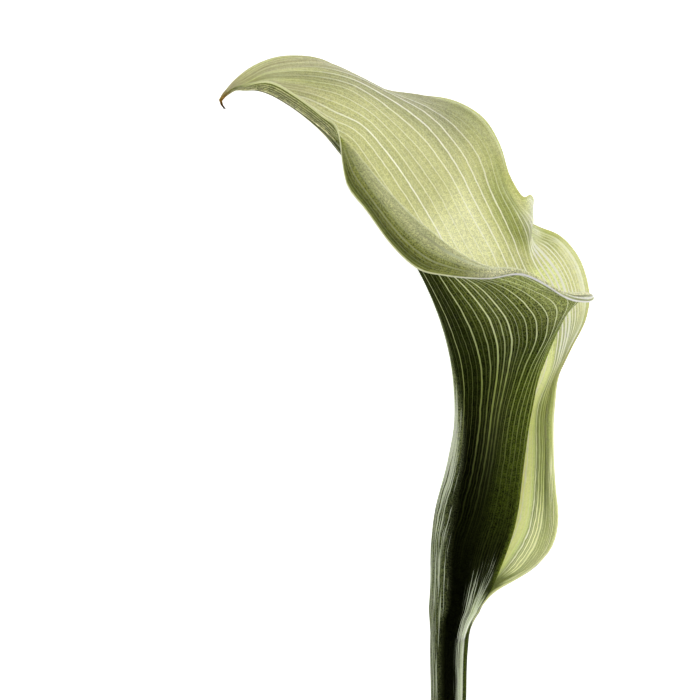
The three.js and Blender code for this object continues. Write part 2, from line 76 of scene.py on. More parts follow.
# The spathe is one leaf, lofted across rails that follow its veins, from the near margin, round the
# tube's front, midrib and back, to the far margin. Each point is [share of the way, x, y, z].
RAILS = {
    "near margin": [
        [0, 6.1, -2, 1.3], [0.06, 9, 4, 0], [0.12, 11, 12, -1], [0.2, 13.5, 22, -1.5],
        [0.27, 15, 34, -1.5], [0.35, 16.5, 48, -1.5], [0.41, 20, 58, -0.5], [0.45, 25.3, 67.5, 1.2],
        [0.475, 28.6, 72.8, 2.2], [0.49, 32, 74.7, 3.4], [0.503, 35.6, 75.2, 5.2],
        [0.517, 34.4, 74.5, 8.2], [0.53, 31, 74.7, 11.9], [0.545, 27.6, 76, 15.1],
        [0.558, 23.6, 78.5, 17.7], [0.575, 18.6, 80.9, 20.3], [0.61, 9, 80.2, 22],
        [0.65, -1.5, 81, 23.5], [0.69, -9, 83.2, 22.5], [0.72, -15, 89, 20], [0.75, -21, 97.3, 17],
        [0.77, -25.7, 103.6, 14], [0.785, -27, 110, 10.6], [0.8, -27.7, 116, 8.4],
        [0.84, -32.2, 121.2, 4.5], [0.88, -39.2, 126.5, 3.6], [0.92, -45, 129.5, 2.9],
        [0.96, -51, 128.7, 2], [0.98, -54.8, 127.36, 1.3], [0.99, -57.4, 125, 0.8],
        [1, -56.3, 122.8, 0.45],
    ],
    "middle of the roll": [
        [0, 6.7, -2, 2.5], [0.06, 10.2, 4, 1.4], [0.12, 12.9, 12, 0.6], [0.2, 15.6, 22, 0.5],
        [0.27, 17.2, 34, 0.5], [0.35, 19, 48, 0.7], [0.41, 22.6, 58, 2], [0.45, 26.8, 67.6, 3.4],
        [0.475, 30, 73.4, 4], [0.49, 33, 75.2, 4.8], [0.503, 35.5, 75.8, 5.8],
        [0.517, 34.3, 75.6, 9.1], [0.53, 30.9, 75.7, 12.3], [0.545, 27.4, 76.9, 15.3],
        [0.558, 23.6, 79.2, 17.7], [0.575, 18.7, 81.7, 20.2], [0.61, 9, 81.8, 23.4],
        [0.65, 0, 83.6, 24.8], [0.69, -7, 87, 23.8], [0.72, -13, 92.6, 21.6], [0.75, -19.2, 100.6, 18],
        [0.77, -23.6, 107, 14.5], [0.785, -26, 112, 11], [0.8, -27.75, 115.95, 7.6],
        [0.84, -32.6, 120.9, 4], [0.88, -39.5, 125.9, 3.1], [0.92, -45.3, 128.8, 2.5],
        [0.96, -51, 128.3, 1.75], [0.98, -54.8, 127.27, 1.1], [0.99, -57.37, 124.97, 0.68],
        [1, -56.3, 122.8, 0.38],
    ],
    "top of the roll": [
        [0, 6.4, -2, 3.7], [0.06, 10.1, 4.2, 3.2], [0.12, 13.5, 12, 3], [0.2, 16.4, 22, 3.2],
        [0.27, 18.1, 35, 3.4], [0.35, 20.2, 48, 3.8], [0.41, 23, 60, 5], [0.45, 27, 69, 6],
        [0.475, 30.6, 73.6, 6.2], [0.49, 33, 75.6, 6.4], [0.503, 34.5, 76.4, 7],
        [0.517, 32.6, 76.5, 9.4], [0.53, 29.6, 76.4, 12], [0.545, 26.4, 77.4, 14.7],
        [0.558, 22.9, 79.5, 17], [0.575, 18.1, 82, 19.3], [0.61, 9.5, 82.9, 22.6],
        [0.65, 2, 86.4, 23.4], [0.69, -4.5, 91.2, 22.6], [0.72, -10.5, 96.2, 20.6],
        [0.75, -17.5, 103.8, 16.8], [0.775, -23, 110.6, 12.4], [0.8, -27.8, 115.8, 6.7],
        [0.84, -33, 120.5, 3.4], [0.88, -39.8, 125.2, 2.6], [0.92, -45.5, 128.2, 2],
        [0.96, -51, 128.25, 1.4], [0.98, -54.8, 127.18, 0.9], [0.99, -57.33, 124.93, 0.54],
        [1, -56.3, 122.8, 0.31],
    ],
    "front, right": [
        [0, 5, -2, 4.7], [0.06, 6.8, 4, 5.6], [0.12, 9.2, 12, 6.4], [0.2, 12.3, 22, 7.2],
        [0.27, 14.3, 34, 7.8], [0.35, 16.5, 48, 8.6], [0.41, 20, 58.5, 10.5], [0.46, 23.8, 67, 12.2],
        [0.49, 23.6, 71.8, 14], [0.515, 20.4, 75.3, 16.4], [0.545, 15, 78.6, 18.6],
        [0.58, 8.5, 80.6, 20.2], [0.62, 2, 83.6, 20.8], [0.66, -4, 87.9, 20.3], [0.7, -10, 94.4, 18.3],
        [0.74, -16.5, 102.2, 15.3], [0.78, -24, 111.3, 10], [0.8, -28.1, 115.5, 5.2],
        [0.84, -33.5, 120.1, 2.7], [0.88, -40, 124.7, 2], [0.92, -45.7, 127.65, 1.4],
        [0.96, -51, 127.95, 1], [0.98, -54.8, 127.11, 0.65], [0.99, -57.3, 124.9, 0.38],
        [1, -56.3, 122.8, 0.22],
    ],
    "front, left": [
        [0, -0.5, -2, 5], [0.06, -0.2, 4, 6.2], [0.12, 0.6, 13, 7.2], [0.2, 3.4, 23, 8.2],
        [0.27, 6, 34, 8.8], [0.35, 7.6, 47, 9.8], [0.42, 7.8, 59, 12], [0.48, 4.6, 69, 14.5],
        [0.54, -0.5, 78, 15.8], [0.6, -6, 86, 15.5], [0.66, -12, 94, 13.5], [0.72, -18.5, 102, 10.5],
        [0.77, -25, 110.4, 7], [0.8, -29, 115.3, 3], [0.84, -34.2, 119.9, 1.6],
        [0.88, -40.2, 124.2, 1], [0.92, -45.9, 127.25, 0.7], [0.96, -51, 127.7, 0.45],
        [0.98, -54.8, 127.07, 0.3], [0.99, -57.27, 124.87, 0.2], [1, -56.3, 122.8, 0.12],
    ],
    "midrib": [
        [0, -4.7, -2, 0], [0.05, -4.3, 4, 0], [0.12, -4.15, 13.5, 0], [0.18, -3.25, 22, 0],
        [0.27, -0.05, 35, 0.5], [0.36, 1.55, 47.5, 0.5], [0.42, 0.6, 59, 0.5], [0.48, -2.2, 70, 0.5],
        [0.55, -7.5, 82.5, 0], [0.62, -13.8, 92.5, -0.5], [0.69, -20.2, 102.2, -1],
        [0.76, -26.6, 111.8, -1], [0.8, -30.6, 116, -1], [0.84, -35, 120.1, -0.8],
        [0.88, -40.3, 124, -0.6], [0.92, -46.1, 127.05, -0.3], [0.96, -51, 127.6, -0.2],
        [0.98, -54.8, 127.05, -0.1], [0.99, -57.25, 124.85, 0], [1, -56.3, 122.8, 0],
    ],
    "back, left": [
        [0, -0.8, -2, -4.9], [0.06, -0.6, 4, -5.8], [0.12, 0.3, 13, -6.8], [0.2, 3, 23, -7.8],
        [0.27, 5.5, 34, -8.6], [0.35, 7.2, 47, -9.6], [0.42, 8, 59, -11.6], [0.48, 6.6, 70, -12.8],
        [0.54, 2.6, 80, -12.6], [0.6, -3, 89.5, -11], [0.66, -9, 100, -9], [0.72, -16.5, 111, -7.5],
        [0.77, -23.5, 118.5, -6], [0.8, -29, 121, -5], [0.84, -35, 124.2, -3.6],
        [0.88, -40.7, 126.2, -2.4], [0.92, -46, 128.2, -1.5], [0.96, -51, 127.95, -0.9],
        [0.98, -54.9, 127.11, -0.5], [0.99, -57.27, 124.87, -0.2], [1, -56.3, 122.8, -0.12],
    ],
    "back": [
        [0, 4, -2, -4.6], [0.06, 5, 4, -5.8], [0.12, 7, 12, -6.8], [0.2, 10.4, 22, -8],
        [0.27, 12.4, 34, -9], [0.35, 13.8, 48, -10.2], [0.42, 16, 59, -13], [0.48, 14.6, 72, -15.6],
        [0.54, 9.5, 84, -17], [0.6, 3.5, 95, -16.6], [0.66, -2.5, 106, -15], [0.72, -10.5, 116, -12.5],
        [0.77, -19.5, 124, -10.5], [0.8, -25.5, 127.8, -9], [0.84, -33.6, 129.6, -6.4],
        [0.88, -40.2, 130.2, -4.4], [0.92, -46, 130.2, -2.6], [0.96, -51.2, 128.4, -1.5],
        [0.98, -55, 127.27, -0.85], [0.99, -57.3, 124.9, -0.36], [1, -56.3, 122.8, -0.21],
    ],
    "back, right": [
        [0, 6.4, -2, -2.8], [0.06, 9.4, 4.2, -3.8], [0.12, 12.2, 11, -5], [0.2, 16.3, 21, -6.4],
        [0.27, 18, 34, -7.5], [0.35, 19.4, 48, -8.6], [0.42, 23, 60, -11.6], [0.48, 21, 73, -15.6],
        [0.545, 14.4, 89.2, -19.4], [0.6, 9, 100, -19.6], [0.66, 3, 112, -19.5],
        [0.72, -5.5, 121.5, -17.5], [0.77, -15.8, 127.2, -15], [0.8, -23, 130.8, -12.5],
        [0.84, -31.8, 133.2, -9.2], [0.88, -39.3, 133.2, -6.4], [0.92, -46, 132, -3.8],
        [0.96, -51.4, 129.2, -2], [0.98, -55.1, 127.43, -1.15], [0.99, -57.35, 124.93, -0.5],
        [1, -56.3, 122.8, -0.29],
    ],
    "root of the flap": [
        [0, 7.2, -2, -1.4], [0.06, 11, 4, -2.6], [0.12, 15, 9.5, -3.8], [0.2, 20, 19.5, -5],
        [0.27, 21.4, 34, -6], [0.35, 22, 48, -6.8], [0.42, 26.3, 60, -10.2], [0.47, 26.5, 71, -13.6],
        [0.5, 24, 78.6, -16.6], [0.53, 20.8, 84.6, -19.4], [0.545, 19.9, 87.6, -20.4],
        [0.555, 19.4, 90.2, -20], [0.565, 18.6, 92.8, -18.9], [0.577, 17.2, 96, -18.9],
        [0.6, 13.8, 102, -20.2], [0.64, 9.8, 114, -22.8], [0.68, 3.4, 121.2, -23],
        [0.72, -5, 125, -22], [0.77, -15.5, 127.55, -18.5], [0.8, -22.5, 131.05, -15],
        [0.84, -31, 134.6, -11.5], [0.88, -38.8, 134.75, -7.7], [0.92, -45.7, 133.4, -4.7],
        [0.96, -51.6, 130, -2.5], [0.98, -55.25, 127.59, -1.4], [0.99, -57.4, 124.96, -0.62],
        [1, -56.3, 122.8, -0.36],
    ],
    "fold of the flap": [
        [0, 7, -2, -0.7], [0.06, 11.5, 3.5, -2], [0.12, 17.6, 8, -3], [0.2, 23, 18.5, -4],
        [0.27, 24, 34, -4.2], [0.35, 24.3, 48, -4.6], [0.39, 26, 54.8, -6.3], [0.42, 28.3, 60.2, -8],
        [0.47, 30.3, 72, -11.4], [0.5, 28.2, 80.3, -14], [0.53, 23.6, 87, -18],
        [0.541, 21.7, 89, -20.6], [0.551, 20.6, 91.4, -21.6], [0.562, 20.9, 94.8, -18.6],
        [0.572, 20, 96.7, -18.2], [0.582, 18, 98.9, -18.9], [0.6, 15.2, 103.3, -20.1],
        [0.64, 11.3, 113.6, -23.2], [0.68, 5, 121.6, -24], [0.72, -4.5, 125.6, -23.2],
        [0.77, -15.8, 127.75, -19.5], [0.8, -22.6, 130.95, -16], [0.84, -31.1, 134.8, -12],
        [0.88, -38.6, 135.55, -8.4], [0.92, -45.5, 134.1, -5.3], [0.96, -51.8, 130.6, -2.9],
        [0.98, -55.4, 127.7, -1.6], [0.99, -57.45, 124.98, -0.72], [1, -56.3, 122.8, -0.41],
    ],
    "middle of the flap": [
        [0, 7.1, -2, -0.1], [0.06, 11.8, 3.1, -1.4], [0.12, 20.2, 8.2, -2.2], [0.2, 25, 18.6, -2.8],
        [0.27, 24.8, 34, -1.8], [0.35, 24.9, 48, -1.8], [0.39, 26.5, 55.1, -4], [0.42, 29.1, 61, -6],
        [0.47, 32.8, 73, -9.6], [0.5, 30.8, 82.3, -12], [0.53, 25, 89.8, -17],
        [0.541, 22.3, 91, -20.2], [0.551, 20.4, 93.1, -22.1], [0.561, 20.9, 96.4, -19.6],
        [0.569, 20.6, 98.3, -18], [0.58, 18.9, 99.9, -18.4], [0.6, 15.6, 104.3, -19.9],
        [0.64, 12, 113.4, -24], [0.68, 5.8, 121.9, -24.4], [0.72, -4.5, 126, -24],
        [0.77, -16.3, 128.05, -20.2], [0.8, -23, 130.95, -16.8], [0.84, -31.2, 135, -12.6],
        [0.88, -38.5, 135.95, -8.9], [0.92, -45.4, 134.7, -5.8], [0.96, -51.9, 131.1, -3.2],
        [0.98, -55.5, 127.79, -1.8], [0.99, -57.5, 125, -0.81], [1, -56.3, 122.8, -0.46],
    ],
    "far margin": [
        [0, 7.2, -2, 0.6], [0.05, 11.5, 2.4, -0.8], [0.09, 18.8, 6.7, -1.2], [0.13, 24.6, 12, -1.4],
        [0.18, 27, 20, -1.6], [0.22, 26.4, 28, -1.2], [0.27, 25.9, 36, -1], [0.35, 26.2, 49, -1.2],
        [0.39, 27.4, 56.8, -2.8], [0.42, 30.5, 63.2, -5], [0.455, 34.3, 71, -7.4],
        [0.48, 34.9, 77.3, -8.6], [0.505, 32.2, 86, -10.6], [0.525, 27.4, 91.4, -14.4],
        [0.54, 22.4, 93.6, -20.2], [0.551, 20.5, 95.1, -22.8], [0.56, 21, 98, -20],
        [0.567, 21.2, 100.5, -18], [0.573, 20.5, 101.5, -17.6], [0.582, 18.9, 100.9, -18],
        [0.6, 15.7, 105.4, -19.6], [0.63, 12.9, 114.4, -24.6], [0.66, 8.6, 121.2, -25],
        [0.69, 1.6, 125.4, -25], [0.73, -10, 127.1, -25], [0.77, -18.5, 128.45, -20.8],
        [0.8, -24, 130.95, -17.5], [0.84, -31.5, 135.3, -13], [0.88, -38.4, 136.35, -9.5],
        [0.92, -45.3, 135.4, -6.3], [0.96, -52, 131.6, -3.5], [0.98, -55.6, 127.9, -2],
        [0.99, -57.55, 125.02, -0.9], [1, -56.3, 122.8, -0.5],
    ],
}

# How many veins lie between one rail and the next.
VEINS_BETWEEN = [2.5, 2.5, 4, 8, 4, 3.5, 3.5, 3, 2.5, 3.5, 3.5, 4]
COLUMNS_PER_VEIN = 6

# Rows of the mesh between these shares of the way from foot to tip.
ROW_STATIONS = [0, 0.06, 0.4, 0.5, 0.6, 0.8, 0.96, 1]
ROW_STEPS = [8, 30, 20, 36, 34, 24, 8]
FACING_PASSES = 24

STEM_TOP = SPATHE_FOOT - 0.3


def stem_profile(lowest):
    """The stem's axis and half widths, [y, x, z, half width in x, half width in z]."""
    return [
        [STEM_TOP, 1.1, 0, 6.25, 5.5],
        [-5, 0.4, -0.1, 5.45, 5.1],
        [-8, 0, -0.2, 5, 4.85],
        [-12.5, -0.25, -0.4, 4.75, 4.65],
        [-25, -0.35, -1.2, 4.45, 4.45],
        [-60, -1.2, -5.2, 4.4, 4.4],
        [-110, -1.6, -12.2, 4.6, 4.6],
        [STEM_CUT, 0, lowest + STEM_CUT_RADIUS, STEM_CUT_RADIUS, STEM_CUT_RADIUS],
    ]


SPADIX_AXIS = [[1.7, -2, 0], [4.2, 12, -0.4], [8, 30, -0.4], [9.9, 46, 0], [9.9, 59, 0]]


def flower_origin():
    """Where the flower's own origin lies, in millimetres, from the spadix's flat foot."""
    points = [vertex.co / MM for vertex in bpy.data.objects["spadix"].data.vertices]
    lowest = min(point.y for point in points)
    foot = [point for point in points if point.y < lowest + 0.01]
    middle = [(min(p[k] for p in foot) + max(p[k] for p in foot)) / 2 for k in range(3)]
    return np.array(middle) - np.array([SPADIX_AXIS[0][0], SPATHE_FOOT, 0])


ORIGIN = flower_origin()
LOWEST = -ORIGIN[2]          # the surface that the flower lies on, in its own frame
STEM_PROFILE = stem_profile(LOWEST)


# --------------------------------------------------------------------------------- small helpers

def smooth_curve(knots, points, at):
    """A smooth curve through points at given knots, each tangent taken from both neighbours."""
    knots = np.asarray(knots, float)
    points = np.asarray(points, float)
    gaps = np.diff(knots)
    slopes = np.diff(points, axis=0) / gaps[:, None]
    tangents = np.empty_like(points)
    tangents[0] = slopes[0]
    tangents[-1] = slopes[-1]
    before = gaps[:-1, None]
    after = gaps[1:, None]
    tangents[1:-1] = (slopes[:-1] * after + slopes[1:] * before) / (before + after)
    first = np.clip(np.searchsorted(knots, at, side="right") - 1, 0, len(knots) - 2)
    span = gaps[first][:, None]
    u = (at - knots[first])[:, None] / span
    u2 = u * u
    u3 = u2 * u
    return (
        points[first] * (2 * u3 - 3 * u2 + 1)
        + tangents[first] * span * (u3 - 2 * u2 + u)
        + points[first + 1] * (3 * u2 - 2 * u3)
        + tangents[first + 1] * span * (u3 - u2)
    )


def ramp(values, start, end):
    """Rises smoothly from 0 at start to 1 at end."""
    share = np.clip((np.asarray(values, float) - start) / (end - start), 0, 1)
    return share * share * (3 - 2 * share)


def fall(values, start, end):
    """Falls smoothly from 1 at start to 0 at end."""
    return 1 - ramp(values, start, end)


def band(values, rise, top, drop, end):
    """Rises from 0 at rise to 1 at top, and falls again from drop to 0 at end."""
    return ramp(values, rise, top) * fall(values, drop, end)


def unit(vectors):
    """Vectors of the same directions, one long."""
    return vectors / np.maximum(np.linalg.norm(vectors, axis=-1, keepdims=True), 1e-9)


def steps_between(stations, steps):
    """Values from station to station, with so many even steps between each two."""
    parts = [np.linspace(a, b, n, endpoint=False) for a, b, n in zip(stations, stations[1:], steps)]
    return np.concatenate(parts + [[stations[-1]]])


def add_data(mesh, label, kind, data, domain="POINT"):
    """Stores one value, vector or colour for each point or corner."""
    field = {"FLOAT": "value", "FLOAT_VECTOR": "vector", "FLOAT_COLOR": "color"}[kind]
    layer = mesh.attributes.new(label, kind, domain)
    layer.data.foreach_set(field, np.asarray(data, np.float32).ravel())


def linked(name, data):
    """A new object in the scene."""
    made = bpy.data.objects.new(name, data)
    bpy.context.scene.collection.objects.link(made)
    return made


def new_mesh(name, points, faces, material=None):
    """A smooth-shaded object in metres from points in the flower's own frame."""
    mesh = bpy.data.meshes.new(name)
    placed = (np.asarray(points) + ORIGIN) * MM
    mesh.from_pydata(placed.tolist(), [], faces)
    mesh.shade_smooth()
    if material:
        mesh.materials.append(material)
    return linked(name, mesh)


def stands_for(piece, node):
    """The piece rides on its body, and the solid that it stands for is hidden."""
    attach(piece, BODY)
    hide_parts(node)


# ------------------------------------------------------------------------------------------- nodes

class Socket:
    """A node's output that Python's operators work on. Each adds a Math node."""

    def __init__(self, graph, output):
        self.graph = graph
        self.output = output

    def math(self, operation, other=0.0, reflected=False):
        pair = (other, self) if reflected else (self, other)
        return self.graph.node("ShaderNodeMath", {"operation": operation}, dict(enumerate(pair)))

    def __add__(self, other):
        return self.math("ADD", other)

    def __radd__(self, other):
        return self.math("ADD", other, reflected=True)

    def __sub__(self, other):
        return self.math("SUBTRACT", other)

    def __rsub__(self, other):
        return self.math("SUBTRACT", other, reflected=True)

    def __mul__(self, other):
        return self.math("MULTIPLY", other)

    def __rmul__(self, other):
        return self.math("MULTIPLY", other, reflected=True)

    def __truediv__(self, other):
        return self.math("DIVIDE", other)

    def __rtruediv__(self, other):
        return self.math("DIVIDE", other, reflected=True)


class Graph:
    """Adds nodes to one tree."""

    def __init__(self, tree):
        self.tree = tree

    def feed(self, socket, value):
        if isinstance(value, Socket):
            self.tree.links.new(value.output, socket)
        elif socket.type == "RGBA" and len(value) == 3:
            socket.default_value = (*value, 1)
        else:
            socket.default_value = value

    def node(self, kind, settings=None, inputs=None, output=0):
        made = self.tree.nodes.new(kind)
        for key, value in (settings or {}).items():
            setattr(made, key, value)
        for key, value in (inputs or {}).items():
            self.feed(made.inputs[key], value)
        return Socket(self, made.outputs[output])

    def smooth(self, value, start, end):
        """Rises smoothly from 0 at start to 1 at end."""
        inputs = {"Value": value, "From Min": start, "From Max": end}
        return self.node("ShaderNodeMapRange", {"interpolation_type": "SMOOTHSTEP"}, inputs)

    def mix(self, first, second, factor, blend="MIX"):
        settings = {"data_type": "RGBA", "blend_type": blend}
        return self.node("ShaderNodeMix", settings, {0: factor, 6: first, 7: second}, output=2)

    def vector(self, x=0.0, y=0.0, z=0.0):
        return self.node("ShaderNodeCombineXYZ", None, {0: x, 1: y, 2: z})

    def parts(self, vector):
        split = self.node("ShaderNodeSeparateXYZ", None, {0: vector})
        return [Socket(self, output) for output in split.output.node.outputs]

    def noise(self, vector, scale, detail=2.0, roughness=0.5):
        inputs = {"Vector": vector, "Scale": scale, "Detail": detail, "Roughness": roughness}
        return self.node("ShaderNodeTexNoise", None, inputs)


class Finish(Graph):
    """One material: a Principled surface, and the nodes that feed it."""

    def __init__(self, name, **constants):
        self.material = bpy.data.materials.new(name)
        self.material.use_nodes = True
        super().__init__(self.material.node_tree)
        self.tree.nodes.clear()
        self.surface = self.tree.nodes.new("ShaderNodeBsdfPrincipled")
        out = self.tree.nodes.new("ShaderNodeOutputMaterial")
        self.tree.links.new(self.surface.outputs[0], out.inputs["Surface"])
        for key, value in constants.items():
            self.surface.inputs[key.replace("_", " ").title().replace("Ior", "IOR")].default_value = value
        self.object_place = self.node("ShaderNodeTexCoord", output="Object")

    def attribute(self, label, output="Vector"):
        return self.node("ShaderNodeAttribute", {"attribute_name": label}, output=output)

    def bump(self, height, distance, strength=1.0):
        inputs = {"Height": height, "Distance": distance, "Strength": strength}
        return self.node("ShaderNodeBump", None, inputs)

    def set(self, **values):
        for key, value in values.items():
            self.feed(self.surface.inputs[key.replace("_", " ").title()], value)


# ---------------------------------------------------------------------------------------- settings

def length(name, default, description):
    return bpy.props.FloatProperty(
        name=name, description=description, default=default, min=0, unit="LENGTH", subtype="DISTANCE"
    )


def color(name, default, description):
    return bpy.props.FloatVectorProperty(
        name=name, description=description, default=default, size=3, min=0, max=1, subtype="COLOR"
    )


class SpatheSettings(bpy.types.PropertyGroup):
    """Sizes and colours of the leaf that wraps the flower"""

    foot_thickness: length("Foot Thickness", 0.00125, "Thickness where the leaf joins the stem")
    limb_thickness: length("Limb Thickness", 0.00066, "Thickness where the leaf opens")
    tip_thickness: length("Tip Thickness", 0.0006, "Thickness at the drawn-out tip")
    margin_share: bpy.props.FloatProperty(
        name="Margin Share", description="Thickness left at the margin", default=0.5,
        min=0.1, max=1, subtype="FACTOR",
    )
    margin_width: length("Margin Width", 0.0025, "Width of the band that thins toward the margin")
    vein_relief: length("Vein Relief", 0.00006, "How far the veins stand out from the leaf")
    vein_width: length("Vein Width", 0.00023, "Width of a main vein")
    inner: color("Inside", linear(188, 187, 147), "Colour of the inside of the limb")
    glow: color("Above the Roll", linear(226, 226, 184), "Colour of the inside above the rolled rim")
    throat: color("Throat", linear(176, 180, 118), "Colour deep inside the tube")
    far_rim: color("Far Rim", linear(160, 159, 132), "Colour of the far rim")
    beige: color("Toward the Tip", linear(162, 155, 134), "Colour of the inside toward the tip")
    shade: color("Pleat Shade", linear(142, 146, 96), "Colour of the hollow beside the pleat")
    # Whitish: a painted highlight along the pleat's ridge.
    ridge: color("Pleat Ridge", linear(206, 209, 180), "Colour of the pleat's ridge")
    lobe: color("Lobe", linear(212, 211, 162), "Colour of the lobe beside the pleat")
    lobe_top: color("Lobe, Top", linear(150, 152, 98), "Colour of the lobe's upper part")
    # The roll's darker olive is partly its own colour and partly painted shade, where the roll faces down.
    lip: color("Rolled Rim", linear(118, 122, 68), "Colour of the rim that rolls outward")
    # Pale: a painted highlight on the roll's crest and on its edge beside the horn.
    lip_crest_highlight: color("Crest of the Roll", linear(198, 199, 162), "Colour of the roll's crest")
    lip_shade: color("Under the Roll", linear(58, 63, 22), "Colour of the roll beside its margin")
    # Near white: a painted highlight on the small horn.
    horn: color("Horn", linear(226, 228, 214), "Colour of the rim's small horn")
    flap: color("Flap", linear(148, 154, 100), "Colour of the overlapping flap")
    flap_shade: color("Flap, Middle", linear(76, 84, 36), "Colour of the flap's shaded middle")
    # Pale yellow brightened almost to white: painted light on the flap beside its seam, where the tube
    # shades it.
    strip: color("Flap Seam", linear(244, 253, 186), "Colour of the flap beside its seam")
    outer_top: color("Outside, Top", linear(80, 87, 43), "Colour of the outside near the rim")
    outer_left: color("Outside, Top Left", linear(34, 40, 10), "Colour near the rim by the midrib")
    outer_right: color("Outside, Right", linear(140, 147, 98), "Colour of the outside by the horn")
    # Near black: painted shade halfway up the tube's front.
    outer_middle_shade: color("Outside, Middle", linear(28, 35, 9), "Colour halfway up the tube")
    outer_green: color("Outside, Seam", linear(50, 61, 13), "Colour of the tube beside its seam")
    outer_seam: color("Outside, Near Edge", linear(84, 97, 32), "Colour of the tube's near margin")
    # Dark green darkened to near black: painted shade, low on the tube and down the stem.
    outer_low_shade: color("Outside, Foot", linear(8, 10, 3), "Colour low on the tube and on the stem")
    # Paler grey green: painted rim light along the flank of the tube and the stem.
    flank_rim_light: color("Outside, Flank", linear(86, 95, 64), "Colour of the tube's and stem's flank")
    # Pale: a painted highlight down the right of the foot and the stem, and painted rim light high on the
    # flank.
    outer_highlight: color("Outside, Foot Right", linear(168, 180, 140), "Colour of the foot's light band")
    outer_back: color("Outside, Back", linear(92, 102, 58), "Colour of the tube's and stem's back")
    outer_limb: color("Outside of the Limb", linear(134, 140, 88), "Colour behind the open limb")
    tip_band: color("Tip's Underside", linear(130, 131, 102), "Colour of the outside near the tip")
    pale: color("Pale Streaks", linear(228, 237, 206), "Colour of the streaks on flank and foot")
    grey: color("Grey Streaks", linear(150, 148, 122), "Colour of the streaks toward the tip")
    inner_vein: color("Inside Veins", linear(253, 253, 242), "Colour of the veins inside")
    top_vein: color("Outside Veins, Top", linear(222, 226, 188), "Colour of the veins near the rim")
    flap_vein: color("Flap Veins", linear(246, 248, 206), "Colour of the veins on the flap")
    outer_vein: color("Outside Veins", linear(146, 155, 88), "Colour of the veins on the tube")
    low_vein: color("Outside Veins, Foot", linear(66, 74, 34), "Colour of the veins low on the tube")
    lip_vein: color("Rolled Rim Veins", linear(170, 173, 136), "Colour of the veins on the rolled rim")
    margin: color("Margin", linear(204, 206, 158), "Colour of the leaf's very edge")
    margin_green: color("Margin, Right", linear(160, 158, 104), "Colour of the edge beside the pleat")
    margin_line: color("Margin Line", linear(120, 128, 42), "Colour of the line beside the edge")
    tip: color("Tip", linear(120, 86, 44), "Colour of the dry tip")
    tip_end: color("Tip's End", linear(30, 22, 15), "Colour of the tip's very end")


class SpadixSettings(bpy.types.PropertyGroup):
    """Sizes and colours of the spike of florets"""

    radius: length("Radius", 0.0034, "Radius of the spike with its florets, where it is widest")
    floret_width: length("Floret Width", 0.0017, "Width of one floret")
    floret_height: length("Floret Height", 0.0006, "How far a floret stands out")
    florets: bpy.props.IntProperty(
        name="Florets", description="Number of florets", default=640, min=10, max=3000
    )
    floret: color("Florets", linear(226, 196, 92), "Colour of the florets")
    pit: color("Between Florets", linear(150, 118, 40), "Colour between the florets")


class StemSettings(bpy.types.PropertyGroup):
    """Sizes and colours of the stem"""

    rib_height: length("Rib Height", 0.00014, "How far the ribs stand out")
    flesh: color("Cut Flesh", linear(196, 202, 150), "Colour of the cut end")


class StageSettings(bpy.types.PropertyGroup):
    """The floor, the light and the camera"""

    camera_height: length("Camera Height", 2.431, "Distance from the camera to the stem's axis")
    lens: bpy.props.FloatProperty(
        name="Lens", description="Focal length", default=500, min=1, unit="CAMERA"
    )
    floor: color("Floor", linear(250, 250, 250), "Colour of the floor")


# ------------------------------------------------------------------------------------- the spathe

def vein_columns():
    """The columns' places across the sheet, in rails, and in veins."""
    at_rails = np.concatenate([[0], np.cumsum(VEINS_BETWEEN)])
    count = int(at_rails[-1] * COLUMNS_PER_VEIN)
    veins = np.linspace(0, at_rails[-1], count + 1)
    rails = smooth_curve(at_rails, np.arange(len(at_rails))[:, None], veins)[:, 0]
    return np.clip(rails, 0, len(at_rails) - 1), veins


def spathe_middle(rows, columns):
    """The sheet's middle surface: points by row and column."""
    tracks = []
    for points in RAILS.values():
        table = np.array(points, float)
        tracks.append(smooth_curve(table[:, 0], table[:, 1:], rows))
    tracks = np.stack(tracks, axis=1)
    last = tracks.shape[1] - 1
    first = np.minimum(np.floor(columns).astype(int), last - 1)
    sheet = []
    for points in tracks:
        distances = np.linalg.norm(np.diff(points, axis=0), axis=1)
        knots = np.concatenate([[0], np.cumsum(np.sqrt(distances + 0.001))])
        at = knots[first] + (knots[first + 1] - knots[first]) * (columns - first)
        sheet.append(smooth_curve(knots, points, at))
    return np.array(sheet)


# The heights of rows that carry the leaf's foot down over the stem.
SKIRT = [-11.5, -9.8, -8.3, -7, -5.8, -4.7, -3.7, -2.8]
SKIRT_SINKS = 0.4            # how far the skirt's last row lies under the stem's skin
SKIRT_SHARE = 0.01           # the share of the way that a millimetre of the skirt counts, below 0
MARGIN_SIDES = [0.8, 0.5, 0.2]      # the inside's part in the looks of the columns round a margin


def stem_section(heights):
    """The stem's centre and half widths at some heights."""
    profile = np.array(STEM_PROFILE)
    found = smooth_curve(-profile[:, 0], profile[:, 1:], -np.asarray(heights, float))
    return found[:, :2], found[:, 2:]


def row_round(height, centre, half, turns, rise):
    """Points round the stem at one height, a rise out from its half widths."""
    x = centre[0] + (half[0] + rise) * np.cos(turns)
    z = centre[1] + (half[1] + rise) * np.sin(turns)
    return np.stack([x, np.full_like(x, height), z], axis=1)


def round_the_top(foot):
    """Where the leaf's foot stands about the stem's top: offsets, half widths there and turns."""
    (centre,), (half,) = stem_section([STEM_TOP])
    offsets = foot[:, [0, 2]] - centre
    x, z = (offsets / half).T
    return offsets, half, np.arctan2(z, x)


